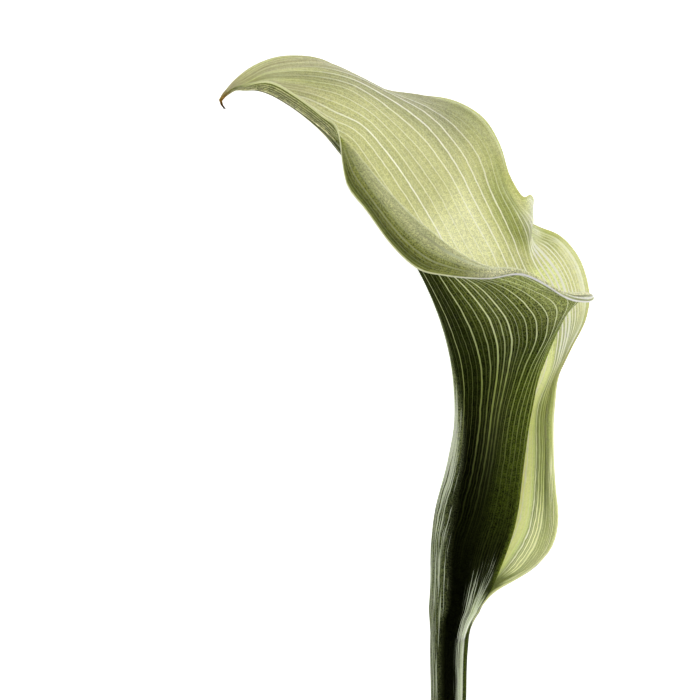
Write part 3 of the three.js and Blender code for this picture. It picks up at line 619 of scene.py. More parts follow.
def skirt_rows(foot):
    """Rows that carry the sheet's foot down over the stem and into its skin."""
    offsets, half, turns = round_the_top(foot)
    proud = np.linalg.norm(offsets, axis=1)
    proud -= np.linalg.norm(np.stack([half[0] * np.cos(turns), half[1] * np.sin(turns)], 1), axis=1)
    rows = []
    for height in SKIRT:
        (centre,), (half,) = stem_section([height])
        share = (SPATHE_FOOT - height) / (SPATHE_FOOT - SKIRT[0])
        rise = proud * fall(share, 0, 1) - SKIRT_SINKS * ramp(share, 0, 1)
        rows.append(row_round(height, centre, half, turns, rise))
    return np.array(rows)


def spread_facings(vectors, passes):
    """Unit vectors on a grid, each averaged with its four neighbours, again and again."""
    for _ in range(passes):
        padded = np.pad(vectors, ((1, 1), (1, 1), (0, 0)), mode="edge")
        total = 2 * vectors + padded[:-2, 1:-1] + padded[2:, 1:-1]
        vectors = unit(total + padded[1:-1, :-2] + padded[1:-1, 2:])
    return vectors


def toward(base, target, mask):
    """A colour, or one for each point, blended toward another by a mask."""
    return base + (np.array(target) - base) * np.asarray(mask)[..., None]


def washed(shape, base, washes):
    """A colour for every point: a base with washes over it, each a colour and its strength."""
    paint = np.broadcast_to(np.array(base), (*shape, 3))
    for tint, mask in washes:
        paint = toward(paint, tint, np.broadcast_to(mask, shape))
    return paint


def roll(t, u):
    """How far a place belongs to the rim that rolls outward."""
    return fall(u, 1.7, 2.5) * ramp(t, 0.49, 0.53)


def paint_inside(s, t, u):
    """The inside's colour by share of the way up, t, and by rail across, u."""
    lip = roll(t, u)
    flap = ramp(u, 7.2, 7.8) * fall(t, 0.42, 0.48)
    return washed(np.broadcast_shapes(t.shape, u.shape), s.inner, [
        (s.throat, fall(t, 0.3, 0.5)),
        (s.far_rim, ramp(u + 6 * t, 11.2, 12.6) * band(t, 0.64, 0.7, 0.88, 0.96)),
        (s.beige, ramp(t, 0.76, 0.9)),
        (s.shade, 0.45 * band(u, 6.4, 7.0, 7.6, 8.4) * band(t, 0.78, 0.85, 0.94, 0.975)),
        (s.shade, 0.4 * ramp(np.cos(9 * u), 0, 0.9) * band(t, 0.78, 0.88, 0.95, 0.98)),
        (s.glow, 0.35 * ramp(np.cos(7 * u + 2), 0.2, 0.9) * band(t, 0.8, 0.9, 0.95, 0.98)),
        (s.shade, 0.35 * ramp(u, 8.0, 9.2) * band(t, 0.58, 0.62, 0.68, 0.74)),
        (s.shade, 0.9 * band(u, 7.8, 8.7, 9.4, 10.2) * band(t, 0.535, 0.56, 0.59, 0.64)),
        (s.glow, band(t, 0.5, 0.56, 0.6, 0.66) * fall(u, 7.3, 8.1)),
        (s.lobe, ramp(u, 8.9, 9.8) * band(t, 0.445, 0.495, 0.53, 0.548)),
        (s.lobe_top, 0.9 * ramp(u, 10.2, 11) * band(t, 0.51, 0.53, 0.535, 0.548)),
        # Painted light: the flap's bright strip, higher up below the lobe.
        (s.strip, 0.8 * band(u, 8.4, 8.9, 9.7, 10.6) * band(t, 0.455, 0.475, 0.51, 0.53)),
        # Painted highlight along the pleat's ridge.
        (s.ridge, ramp(u, 9.0, 10.2) * band(t, 0.532, 0.543, 0.57, 0.583)),
        (s.flap, flap),
        (s.flap_shade, 0.8 * flap * band(u, 8.9, 9.4, 10.3, 11) * band(t, 0.17, 0.24, 0.34, 0.42)),
        # Painted light on the flap beside its seam.
        (s.strip, flap * fall(u, 8.7, 9.3)),
        (s.shade, 0.9 * band(u, 11.45, 11.58, 11.66, 11.8) * band(t, 0.24, 0.27, 0.36, 0.4)),
        # The roll: darker olive, partly painted shade where it faces down.
        (s.lip, lip),
        # Painted highlight along the roll's crest, and on the roll's edge beside the horn.
        (s.lip_crest_highlight, 0.8 * lip * band(u, 0.9, 1.6, 2.3, 2.7) * band(t, 0.52, 0.58, 0.75, 0.8)),
        (s.lip_crest_highlight, band(t, 0.5, 0.52, 0.6, 0.64) * fall(u, 1.4, 2.2)),
        (s.lip_shade, 0.8 * lip * fall(u, 0.3, 0.8) * band(t, 0.64, 0.7, 0.77, 0.8)),
        (s.lobe, band(u, 1, 1.3, 2.2, 2.6) * band(t, 0.49, 0.5, 0.535, 0.55)),
        (s.lip_shade, 0.8 * band(u, 0.95, 1.1, 1.3, 1.5) * band(t, 0.5, 0.507, 0.535, 0.545)),
        # Painted highlight on the small horn, inside.
        (s.horn, horn(t, u)),
    ])


def horn(t, u):
    """How far a place belongs to the small horn where the rim turns round."""
    return fall(u, 0.95, 1.15) * band(t, 0.495, 0.51, 0.532, 0.55)


# The share of the way, and the rail at which the flank starts there.
FLANK_STARTS = [[-0.05, 0.0, 0.07, 0.18, 0.34, 0.42], [4.2, 4.0, 4.0, 4.22, 4.55, 4.85]]


def flank(t, u, soft):
    """The strip of the outside beside the midrib, which is the outline's left side."""
    past = u - np.interp(t, *FLANK_STARTS)
    return ramp(past, 0.07 - soft / 2, 0.07 + soft / 2) * fall(u, 5.6, 6.2) * fall(t, 0.5, 0.58)


def foot_highlight(t, u):
    """Where the painted highlight runs down the right of the foot and the stem."""
    return band(u, 1.75, 2.1, 2.8, 3.15) * fall(t, 0.0, 0.05)


def paint_outside(s, t, u):
    """The outside's colour by share of the way up, t, and by rail across, u."""
    underside = ramp(t, 0.79, 0.82) * fall(u, 5.4, 6.4)
    # The ground low on the tube is near black: painted shade over its dark green.
    return washed(np.broadcast_shapes(t.shape, u.shape), s.outer_low_shade, [
        # Halfway up, the tube's front is painted near black as well: painted shade.
        (s.outer_middle_shade, ramp(t, 0.27, 0.42)),
        (s.outer_green, fall(u, 3.05, 3.6) * ramp(t, 0.1, 0.3)),
        (s.outer_left, ramp(t, 0.4, 0.54)),
        (s.outer_top, ramp(t, 0.42, 0.54) * fall(u, 3.5, 4.3)),
        (s.outer_right, ramp(t, 0.44, 0.52) * fall(u, 2.6, 3.4)),
        (s.outer_seam, fall(u, 1.9, 2.5) * band(t, 0.04, 0.1, 0.42, 0.5)),
        # Painted highlight on the small horn, outside.
        (s.horn, horn(t, u)),
        # Painted rim light along the tube's left flank.
        (s.flank_rim_light, flank(t, u, 0.5)),
        # More painted rim light, higher up the flank.
        (s.outer_highlight, 0.6 * flank(t, u, 0.5) * ramp(t, 0.22, 0.3)),
        (s.outer_green, fall(u, 1.5, 1.8) * fall(t, 0, 0.06)),
        # The painted highlight down the right of the foot and the stem.
        (s.outer_highlight, foot_highlight(t, u)),
        # A thin white line of painted highlight at the right edge of that band.
        (s.inner_vein, band(u, 2.15, 2.25, 2.35, 2.45) * fall(t, -0.04, 0.01)),
        (s.outer_back, ramp(u, 5.7, 7)),
        (s.outer_limb, ramp(u, 5.2, 7) * ramp(t, 0.3, 0.6)),
        (s.tip_band, underside),
        # A painted shadow: a near-black band along the fold by the crest, on the tip's underside.
        (s.outer_low_shade, 0.6 * underside * band(u, 0.05, 0.2, 0.6, 1.1)),
        (s.outer_low_shade, 0.45 * underside * ramp(np.cos(9 * u), 0.0, 0.9)),
        (s.glow, 0.45 * underside * ramp(np.cos(9 * u + 2.6), 0.3, 1)),
        (s.glow, 0.8 * underside * band(u, 3.5, 3.7, 3.9, 4.1)),
        (s.outer_low_shade, 0.8 * underside * band(u, 4.1, 4.25, 4.4, 4.6)),
        (s.margin, underside * band(u, 4.6, 4.8, 5.1, 5.4)),
    ])


def outside_line(s, t, u):
    """The colour of the outside's veins."""
    return washed(np.broadcast_shapes(t.shape, u.shape), s.low_vein, [
        (s.outer_vein, ramp(t, 0.2, 0.42)),
        (s.top_vein, ramp(t, 0.38, 0.52) * (1 - 0.5 * ramp(u, 3.4, 4.2))),
    ])


def outside_marks(t, u):
    """How strong the outside's main veins, fine veins, streaks, grain and waviness are."""
    vein = (0.35 + 0.55 * ramp(t, 0.12, 0.4)) * (1 - ramp(t, 0.78, 0.84) * fall(u, 5, 6.5))
    fine = 0.16 + 0.1 * fall(t, 0.1, 0.3)
    left = flank(t, u, 0.4) * (0.8 + 0.7 * ramp(t, 0.14, 0.3))
    right = 1.1 * band(u, 2.2, 2.6, 3.15, 3.5) * fall(t, 0.02, 0.15)
    back = 0.4 * ramp(u, 5.6, 6.5) * fall(t, 0.1, 0.3)
    streaky = np.maximum(np.maximum(left, foot_highlight(t, u)), np.maximum(right, back))
    # No veins show in the near-black painted shade down the middle of the tube's foot.
    fade_in_shade = 1 - ramp(u, 3.2, 3.5) * fall(u - 2.2 * t, 4.0, 4.3) * fall(t, 0.04, 0.3)
    grain = 1.05 - 0.45 * ramp(t, 0.42, 0.55) * fall(u, 2.4, 3.6) - 0.9 * foot_highlight(t, u)
    wave = 0.4 * band(t, 0.0, 0.1, 0.2, 0.4) + 0.15
    return vein * fade_in_shade, fine * fade_in_shade, streaky, grain, wave


FIBRES_PER_VEIN = 4
RIM_LINE_GAP = 0.62          # millimetres between the lines along a margin
STRANDS_PER_RAIL = 22
GRAIN_SCALE = 3300.0         # cells of the skin's grain in a metre, and of its broader patches
PATCH_SCALE = 900.0
BUMP_HEIGHT = 0.00012
WARM_SPECK = linear(255, 246, 190)


def leaf_finish(name, vein_width, **constants):
    """The skin of leaf and stem: veins, fine fibres, grain, streaks and a lined margin.

    Its fields are stored by point: leaf holds the place across in veins, the place along and the
    veins' spacing in millimetres, and zone holds the face, the distance to the margin and how far
    the veins wander.
    """
    finish = Finish(name, **constants)
    across, along, spacing = finish.parts(finish.attribute("leaf"))
    side, rim, wave = finish.parts(finish.attribute("zone"))
    contrast, between, edged = finish.parts(finish.attribute("tone"))
    ground = finish.attribute("ground", "Color")
    line = finish.attribute("line", "Color")
    strength = finish.attribute("line", "Alpha")
    streak_tint = finish.attribute("streak", "Color")
    streaky = finish.attribute("streak", "Alpha")
    rail = finish.attribute("rail", "Fac")
    margin_tint = finish.attribute("margin", "Color")
    margin_line = finish.attribute("margin_line", "Color")

    def field(x, y, z, detail=2.0, roughness=0.5):
        return finish.noise(finish.vector(x, y, z), 1.0, detail, roughness)

    # The veins wander a little, and each has its own width and strength.
    drift = field(across * 0.3, along * 0.05, side * 5.0, 1.0) - 0.5
    wiggle = field(across * 0.8, along * 0.3, side * 3.0 + 7.0) - 0.5
    bend = across + drift * 0.3 + wiggle * wave
    nearest = bend.math("ROUND")
    chance = finish.node("ShaderNodeTexWhiteNoise", {"noise_dimensions": "1D"}, {"W": nearest})
    off = (bend - nearest).math("ABSOLUTE") * spacing
    vein_half = vein_width * (0.65 + 0.7 * chance) * (1 + edged * 1.1)
    main_vein = (1 - finish.smooth(off / vein_half, 0.4, 1.0)) * (0.4 + 0.75 * chance)
    flicker = 0.65 + 0.7 * field(nearest * 3.7, along * 0.3, 2.0)

    # One fine vein lies halfway between two, and broken fibres lie between those.
    halfway = (bend - bend.math("FLOOR") - 0.5).math("ABSOLUTE") * spacing
    fine_vein = (1 - finish.smooth(halfway / vein_width, 0.3, 0.85)) * between
    fibres = bend * FIBRES_PER_VEIN
    fibre_off = (fibres - fibres.math("ROUND")).math("ABSOLUTE") * spacing
    broken = finish.smooth(field(across * 3, along * 0.5, 3.0), 0.35, 0.6)
    fibre = (1 - finish.smooth(fibre_off, 0.12, 0.6)) * broken * 0.45 * between
    room = finish.smooth(spacing, 0.3, 1.0)
    veins = (main_vein * strength).math("MAXIMUM", fine_vein).math("MAXIMUM", fibre) * flicker * room

    near_rim = finish.smooth(rim, 0.8, 1.1) * (1 - finish.smooth(rim, 2.4, 4.2)) * edged
    uneven_rim = rim + field(across, along * 0.08, 6.0) * 0.5
    rim_wave = (uneven_rim * (2 * math.pi / RIM_LINE_GAP)).math("COSINE")
    veins = veins.math("MAXIMUM", finish.smooth(rim_wave, 0.1, 0.9) * near_rim)

    # The ground is speckled by its grain and striped along the veins.
    grain = finish.noise(finish.object_place, GRAIN_SCALE, 2.0, 0.75)
    patches = finish.noise(finish.object_place, PATCH_SCALE, 2.0, 0.6)
    speck = finish.smooth(grain * 0.8 + patches * 0.2, 0.38, 0.62)
    stripes = field(bend * 0.9, along * 0.02, side * 4.0 + 20.0, 1.0) - 0.5
    level = (1 + contrast * (speck * 1.9 - 0.9) + stripes * 0.35).math("MAXIMUM", 0.0)
    lit = finish.node("ShaderNodeVectorMath", {"operation": "SCALE"}, {0: ground, "Scale": level})
    lit = finish.mix(lit, WARM_SPECK, speck * contrast * 0.5, "MULTIPLY")

    # Pale threads run along the flank, the foot and the stem.
    strand = rail * STRANDS_PER_RAIL + (bend - across) * 3
    thread = field(strand, along * 0.04, 11.0, 2.0, 0.7) + (streaky - 1) * 0.2
    streak = finish.smooth(thread, 0.455, 0.55) * finish.smooth(streaky, 0.0, 0.3)
    lit = finish.mix(lit, streak_tint, streak * (0.6 + 0.4 * grain))
    veined = finish.mix(lit, line, veins)

    # The very edge is pale, with a thin dark line inside it.
    dark_line = finish.smooth(rim, 0.3, 0.45) * (1 - finish.smooth(rim, 0.75, 1.0))
    lined = finish.mix(veined, margin_line, dark_line * finish.attribute("margin_line", "Alpha"))
    margin = 1 - finish.smooth(rim, 0.25, 0.45)
    finish.set(
        base_color=finish.mix(lined, margin_tint, margin * finish.attribute("margin", "Alpha")),
        roughness=0.36 + grain * 0.16,
        normal=finish.bump(veins * 0.5 + speck * 0.5, BUMP_HEIGHT, 0.5),
    )
    return finish.material


def add_fields(mesh, **fields):
    """Stores each field by point: one grid of values, or three as a vector."""
    for label, grids in fields.items():
        kind = "FLOAT" if len(grids) == 1 else "FLOAT_VECTOR"
        add_data(mesh, label, kind, with_ends(np.stack(grids, axis=-1)))


def add_tints(mesh, **tints):
    """Stores each colour, and with it a strength in its alpha."""
    for label, (tint, strength) in tints.items():
        shape = np.shape(strength)
        both = np.concatenate([np.broadcast_to(tint, (*shape, 3)), np.array(strength)[..., None]], axis=-1)
        add_data(mesh, label, "FLOAT_COLOR", with_ends(both))


def half_thickness(settings, t, rim):
    """Half the sheet's thickness in millimetres, which thins toward its margins and its foot."""
    body = settings.foot_thickness + (settings.limb_thickness - settings.foot_thickness) * ramp(t, 0, 0.5)
    body = body + (settings.tip_thickness - body) * ramp(t, 0.9, 1)
    body = body * (1 - 0.6 * ramp(-t, 0, 0.095))
    share = settings.margin_share + (1 - settings.margin_share) * ramp(t, 0.93, 0.98)
    thin = share + (1 - share) * ramp(rim, 0, settings.margin_width / MM)
    return body * thin / MM / 2


def rounded_edge(middle, facing, half, column, inward):
    """Three columns that turn the sheet's margin round from its inside to its outside."""
    out = unit(middle[:, column] - middle[:, inward])
    arc = []
    for turn in (0.25, 0.5, 0.75):
        reach = half[:, column, None] * math.sin(math.pi * turn)
        rise = half[:, column, None] * math.cos(math.pi * turn)
        arc.append(middle[:, column] + out * reach + facing[:, column] * rise)
    return np.stack(arc, axis=1)


def ring_faces(rows, count):
    """Quads between closed rings of points, and a fan over each end to one more point."""
    faces = []
    for row in range(rows - 1):
        here = row * count
        for k in range(count):
            after = (k + 1) % count
            faces.append((here + k, here + after, here + count + after, here + count + k))
    centre = rows * count
    for k in range(count):
        after = (k + 1) % count
        faces.append((centre, after, k))
        faces.append((centre + 1, centre - count + k, centre - count + after))
    return faces


def with_ends(rings):
    """Rows of points or data in one list, with a middle value for each end."""
    flat = rings.reshape(-1, rings.shape[-1])
    return np.concatenate([flat, [rings[0].mean(axis=0)], [rings[-1].mean(axis=0)]])


def lengths(points, axis):
    """How far each point of a grid lies from the first one, along an axis."""
    steps = np.linalg.norm(np.diff(points, axis=axis), axis=-1)
    return np.insert(np.cumsum(steps, axis=axis), 0, 0, axis=axis)


def spathe_skin(settings, middle, t, rim, spacing, veins):
    """Closed rings: the inside face, round the far margin, the outside face, round the near one."""
    down, over = np.gradient(middle, axis=(0, 1))
    facing = spread_facings(unit(np.cross(over, down)), FACING_PASSES)
    half = half_thickness(settings, t, rim)
    ridge = np.cos(2 * math.pi * veins)[None, :] * ramp(spacing, 0.8, 2.0) * ramp(rim, 0.5, 2.5)
    lift = (half + settings.vein_relief / MM * ridge * ramp(t, 0, 0.05))[..., None]
    far = rounded_edge(middle, facing, half, -1, -2)
    near = rounded_edge(middle, facing, half, 0, 1)
    inside = middle + facing * lift
    outside = middle - facing * lift
    return np.concatenate([inside, far, outside[:, ::-1], near[:, ::-1]], axis=1)


def ringed(values, shape):
    """Values on the sheet, carried onto both faces and the three columns round each margin."""
    values = np.broadcast_to(values, shape)
    far = np.repeat(values[:, -1:], 3, axis=1)
    near = np.repeat(values[:, :1], 3, axis=1)
    return np.concatenate([values, far, values[:, ::-1], near], axis=1)


def spathe_looks(s, t, u, side):
    """By point: waviness, the tone's three values, and the tints with their strengths."""
    lip = roll(t, u) * fall(t, 0.82, 0.9)
    crest = lip * band(u, 0.9, 1.6, 2.3, 2.7)
    low = fall(t, 0.44, 0.6)
    right = ramp(u, 8.6, 9.6)
    tip = ramp(t, 0.8, 0.9)
    fade = fall(t, 0.93, 0.98)
    seam = band(u, 7.2, 7.8, 8.9, 9.5) * fall(t, 0.4, 0.46)
    on_flap = ramp(u, 8.8, 9.6) * fall(t, 0.38, 0.44)
    flap_middle = band(u, 8.9, 9.4, 10.3, 11) * band(t, 0.2, 0.25, 0.34, 0.42)
    on_lobe = right * band(t, 0.4, 0.44, 0.545, 0.56)
    lobe_edge = ramp(u, 10.7, 11.3) * band(t, 0.42, 0.46, 0.55, 0.58)
    by_pleat = right * band(t, 0.36, 0.42, 0.64, 0.72)
    horn_edge_highlight = fall(u, 1.4, 2.2) * band(t, 0.48, 0.5, 0.6, 0.66)

    def by_side(inside, outside):
        weight = side[..., None] if np.ndim(inside) == 3 else side
        return outside + (inside - outside) * weight

    outer_vein, outer_fine, outer_streaks, outer_grain, wave = outside_marks(t, u)
    ground = by_side(paint_inside(s, t, u), paint_outside(s, t, u))
    ground = toward(ground, s.tip, ramp(t, 0.978, 0.99))
    ground = toward(ground, s.tip_end, ramp(t, 0.99, 0.998))
    inner_line = washed(t.shape, s.inner_vein, [
        (s.lip_vein, lip),
        (s.flap_vein, on_flap),
        (s.outer_vein, 0.5 * on_flap * flap_middle),
    ])
    inner_vein = (0.8 + 0.2 * low) * (1 - 0.25 * lip) * (1 - 0.4 * seam)
    inner_vein = inner_vein * (1 - 0.75 * ramp(t, 0.74, 0.88))
    inner_vein = inner_vein * (1 + 0.9 * right * fall(t, 0.53, 0.56)) * (1 - 0.6 * lobe_edge)
    inner_vein = inner_vein * (1 - 0.7 * ramp(u, 7.8, 9) * ramp(t, 0.58, 0.66))
    inner_fine = 0.12 + 0.4 * low + 0.15 * lip + 0.1 * right * low
    inner_fine = inner_fine * (1 - 0.5 * seam) * (1 - 0.6 * on_lobe)
    far_streaks = 0.3 * ramp(u, 8.4, 9.6) * band(t, 0.64, 0.7, 0.9, 0.96)
    inner_streaks = 0.55 * tip + 0.8 * crest * (1 - tip) + far_streaks
    contrast = 0.24 + 0.5 * lip - 0.3 * crest - 0.1 * ramp(t, 0.85, 0.95)
    contrast = by_side(contrast * (1 - 0.7 * seam), outer_grain) * (1 - 0.8 * horn(t, u))
    edged = by_side(0.1 + 0.45 * on_lobe, 0.0) * ramp(t, 0.1, 0.2)
    margin = washed(t.shape, s.margin, [
        (s.margin_green, by_pleat),
        # The edge beside the horn is painted white: a painted highlight.
        (s.inner_vein, horn_edge_highlight),
        (s.far_rim, ramp(u, 6, 8) * ramp(t, 0.66, 0.74)),
    ])
    streak = washed(t.shape, s.pale, [(s.grey, side * ramp(t, 0.6, 0.7))])
    tone = (contrast, by_side(inner_fine, outer_fine) * fade, edged * fade)
    return wave, tone, {
        "ground": (ground, np.ones(t.shape)),
        "line": (by_side(inner_line, outside_line(s, t, u)), by_side(inner_vein, outer_vein) * fade),
        "streak": (streak, by_side(inner_streaks, outer_streaks) * fade),
        "margin": (margin, (0.85 - 0.2 * by_pleat) * fade),
        "margin_line": (s.margin_line, (0.25 + 0.2 * edged + 0.5 * horn(t, u)) * fade),
    }


def build_spathe(settings):
    """The leaf: a closed skin over its middle surface, from the foot's skirt to the tip."""
    columns, veins = vein_columns()
    rows = steps_between(ROW_STATIONS, ROW_STEPS)
    leaf = spathe_middle(rows, columns)
    middle = np.concatenate([skirt_rows(leaf[0]), leaf])
    shape = middle.shape[:2]
    t = np.concatenate([(np.array(SKIRT) - SPATHE_FOOT) * SKIRT_SHARE, rows])[:, None]
    spacing = np.linalg.norm(np.gradient(middle, axis=1), axis=-1) * COLUMNS_PER_VEIN
    along = lengths(middle, 0)
    from_near = lengths(middle, 1)
    rim = np.minimum(from_near, from_near[:, -1:] - from_near)
    rings = spathe_skin(settings, middle, t, rim, spacing, veins)

    material = leaf_finish(
        "Leafy spathe", settings.vein_width / MM,
        subsurface_weight=0.8,
        subsurface_radius=(0.0026, 0.0028, 0.0018),
        subsurface_scale=1.0,
        specular_ior_level=0.0,
    )
    piece = new_mesh("spathe.leaf", with_ends(rings), ring_faces(*rings.shape[:2]), material)
    side = np.concatenate([np.ones(shape[1]), MARGIN_SIDES, np.zeros(shape[1]), MARGIN_SIDES[::-1]])
    side = np.broadcast_to(side, rings.shape[:2])
    grids = (t, columns, rim, veins, along, spacing)
    t, u, rim, veins, along, spacing = (ringed(values, shape) for values in grids)
    wave, tone, tints = spathe_looks(settings, t, u, side)
    add_fields(piece.data, leaf=(veins, along, spacing), zone=(side, rim, wave), tone=tone, rail=(u,))
    add_tints(piece.data, **tints)
    return piece


class CALLA_OT_spathe(bpy.types.Operator):
    """Make the leaf that wraps the flower, with its veins, rolled rim, pleat and tip"""

    bl_idname = "calla.spathe"
    bl_label = "Spathe"

    def execute(self, context):
        piece = build_spathe(context.scene.calla_spathe)
        stands_for(piece, "spathe")
        return {"FINISHED"}


# ------------------------------------------------------------------------------- geometry node trees

class Growth(Graph):
    """A Geometry Nodes tree with one geometry input, named inputs and one geometry output."""

    def __init__(self, name, inputs):
        tree = bpy.data.node_groups.new(name, "GeometryNodeTree")
        super().__init__(tree)
        self.identifiers = {}
        tree.interface.new_socket("Geometry", in_out="INPUT", socket_type="NodeSocketGeometry")
        for label, kind in inputs.items():
            made = tree.interface.new_socket(label, in_out="INPUT", socket_type="NodeSocket" + kind)
            self.identifiers[label] = made.identifier
        tree.interface.new_socket("Geometry", in_out="OUTPUT", socket_type="NodeSocketGeometry")
        self.group_input = tree.nodes.new("NodeGroupInput")

    def input(self, label):
        return Socket(self, self.group_input.outputs[label])

    def stored(self, label):
        settings = {"data_type": "FLOAT"}
        return self.node("GeometryNodeInputNamedAttribute", settings, {"Name": label})

    def finish(self, geometry, material):
        real = self.node("GeometryNodeRealizeInstances", None, {0: geometry})
        dressed = self.node("GeometryNodeSetMaterial", {}, {"Geometry": real})
        dressed.output.node.inputs["Material"].default_value = material
        out = self.tree.nodes.new("NodeGroupOutput")
        self.tree.links.new(dressed.output, out.inputs[0])


def grown(piece, growth, inputs, name):
    """The plain mesh that a tree makes of a piece."""
    modifier = piece.modifiers.new(growth.tree.name, "NODES")
    modifier.node_group = growth.tree
    for label, value in inputs.items():
        modifier[growth.identifiers[label]] = value
    evaluated = piece.evaluated_get(bpy.context.evaluated_depsgraph_get())
    mesh = bpy.data.meshes.new_from_object(evaluated)
    mesh.name = name
    result = linked(name, mesh)
    bpy.data.objects.remove(piece)
    return result


# ---------------------------------------------------------------------------------------- the stem

STEM_ROWS = 160
FOOT_SHARE = -0.05          # the share of the way, below 0, at which the leaf's paints meet the stem
STEM_SIDES = 192
TUCK = 0.55                 # how far the stem's top draws in under the leaf's foot, by the midrib
STEM_HEAD = np.array([0.75, 0.0])         # centre and half widths of the head inside the leaf
STEM_HEAD_HALF = np.array([4.2, 3.9])
CUT_HOLLOW = 0.12           # how far the cut end is sunk in its middle
NO_MARGIN = 99              # a distance to the leaf's margin that is past all its lines
STEM_VEIN_WIDTH = 0.28
PORE_SCALE = 1300.0         # pores of the cut face in a metre
PORE = linear(120, 132, 78)


def stem_growth(material):
    """Raises rounded ribs along a plain stem."""
    inputs = {"Ribs": "Int", "Rib Height": "Float", "Unevenness": "Float", "Seed": "Int"}
    growth = Growth("Ribbed stem", inputs)

    share = growth.stored("share")
    turn = share * (2 * math.pi)
    round_and_down = growth.vector(turn.math("COSINE"), turn.math("SINE"), growth.stored("along") * 12.0)
    swing = growth.node(
        "ShaderNodeTexNoise", {"noise_dimensions": "4D"},
        {"Vector": round_and_down, "W": growth.input("Seed"), "Scale": 1.3, "Detail": 1.0},
    )
    uneven = 1 + (swing - 0.5) * growth.input("Unevenness")
    ridge = (turn * growth.input("Ribs")).math("COSINE")
    rise = (ridge - 1) * growth.input("Rib Height") * uneven * growth.stored("skin") * 0.5
    facing = growth.node("GeometryNodeInputNormal")
    offset = growth.node("ShaderNodeVectorMath", {"operation": "SCALE"}, {0: facing, "Scale": rise})
    source = growth.input("Geometry")
    moved = growth.node("GeometryNodeSetPosition", None, {"Geometry": source, "Offset": offset})
    growth.finish(moved, material)
    return growth


def stem_turns():
    """The stem's sides: turns in radians, veins, rails, ribs in all and each side's share of them.

    The leaf's veins go on round the stem, with as many more as fit where its margins stand apart.
    """
    rails, veins = vein_columns()
    foot = np.unwrap(round_the_top(spathe_middle(np.array([0.0]), rails)[0])[2])
    seam = (foot[0] + foot[-1] - 2 * math.pi) / 2
    ribs = round(veins[-1] * 2 * math.pi / (foot[-1] - foot[0]))
    knots = np.concatenate([[seam], foot, [seam + 2 * math.pi]])
    margin = (ribs - veins[-1]) / 2
    vein_at = np.concatenate([[-margin], veins, [veins[-1] + margin]])
    turns = seam + np.linspace(0, 2 * math.pi, STEM_SIDES + 1)
    across = np.interp(turns, knots, vein_at)
    return turns[:-1], across, np.interp(across[:-1], veins, rails), ribs, (across[:-1] + margin) / ribs


def stem_sections():
    """From head to cut: height, centre, half widths, share of the ribs' height, and how far cut."""
    heights = np.linspace(STEM_TOP, STEM_CUT, STEM_ROWS)
    centres, halves = stem_section(heights)
    end, end_half = centres[-1], halves[-1]
    sections = [
        (SPATHE_FOOT + rise, STEM_HEAD, STEM_HEAD_HALF * share, 0, 0)
        for rise, share in ((0.6, 0.4), (0.4, 0.85), (0, 1))
    ]
    for height, centre, half in zip(heights, centres, halves):
        sections.append((height, centre, half, float(ramp(-height, 3, 12)), 0))
    sections.append((STEM_CUT, end, end_half - 0.12, 0, 0.2))
    sections.append((STEM_CUT + 0.02, end, end_half - 0.3, 0, 1))
    for share in (0.75, 0.5, 0.25):
        sections.append((STEM_CUT + CUT_HOLLOW * (1 - share), end, end_half * share, 0, 1))
    return sections


def stem_corners(across, heights, spacing):
    """The leaf field by corner of each face, because the veins' count jumps at the seam."""
    corners = []
    for row in range(len(heights) - 1):
        for k in range(STEM_SIDES):
            for step_row, step_side in ((0, 0), (0, 1), (1, 1), (1, 0)):
                here = row + step_row
                corners.append((across[k + step_side], -heights[here], spacing[here]))
    for k in range(STEM_SIDES):
        for row, order in ((0, (None, k + 1, k)), (-1, (None, k, k + 1))):
            for side in order:
                corners.append((across[side or k], -heights[row], spacing[row]))
    return corners


def build_stem(settings, leaf):
    """The stem: rings from inside the leaf's foot down to the cut, ribbed in line with the veins."""
    turns, across, rails, ribs, shares = stem_turns()
    sections = stem_sections()
    rings = []
    for height, centre, half, _, _ in sections:
        tuck = TUCK * ramp(height, -9.5, -4) * ramp(-np.cos(turns), -0.2, 0.6)
        rings.append(row_round(height, centre, half, turns, -tuck))
    rings = np.array(rings)
    shape = rings.shape[:2]
    core = new_mesh("stem.core", with_ends(rings), ring_faces(*shape))

    def every(values):
        return np.broadcast_to(values, shape)

    heights, skin, cut = (np.array([section[k] for section in sections]) for k in (0, 3, 4))
    u = every(rails)
    t = np.full(shape, FOOT_SHARE)
    vein, fine, streaks, grain, wave = outside_marks(t, u)
    none, full = np.zeros(shape), np.ones(shape)
    add_fields(
        core.data,
        share=(every(shares),),
        along=(every(-heights[:, None] * MM),),
        skin=(every(skin[:, None]),),
        cut=(every(cut[:, None]),),
        tone=(grain, fine, none),
        zone=(none, NO_MARGIN * full, wave),
        rail=(u,),
    )
    add_tints(
        core.data,
        # The stem's ground is the outside's paint at its foot: painted shade down its middle, painted rim
        # light on its left flank and a painted highlight down its right.
        ground=(paint_outside(leaf, t, u), full),
        line=(outside_line(leaf, t, u), vein),
        streak=(leaf.pale, streaks),
        margin=(leaf.margin, full),
        margin_line=(leaf.margin_line, full),
    )
    spacing = 2 * math.pi * np.array([section[2].mean() for section in sections]) / ribs
    add_data(core.data, "leaf", "FLOAT_VECTOR", stem_corners(across, heights, spacing), "CORNER")
    inputs = {"Ribs": ribs, "Rib Height": settings.rib_height, "Unevenness": 0.8, "Seed": 3}
    return grown(core, stem_growth(stem_material(settings)), inputs, "stem.skin")


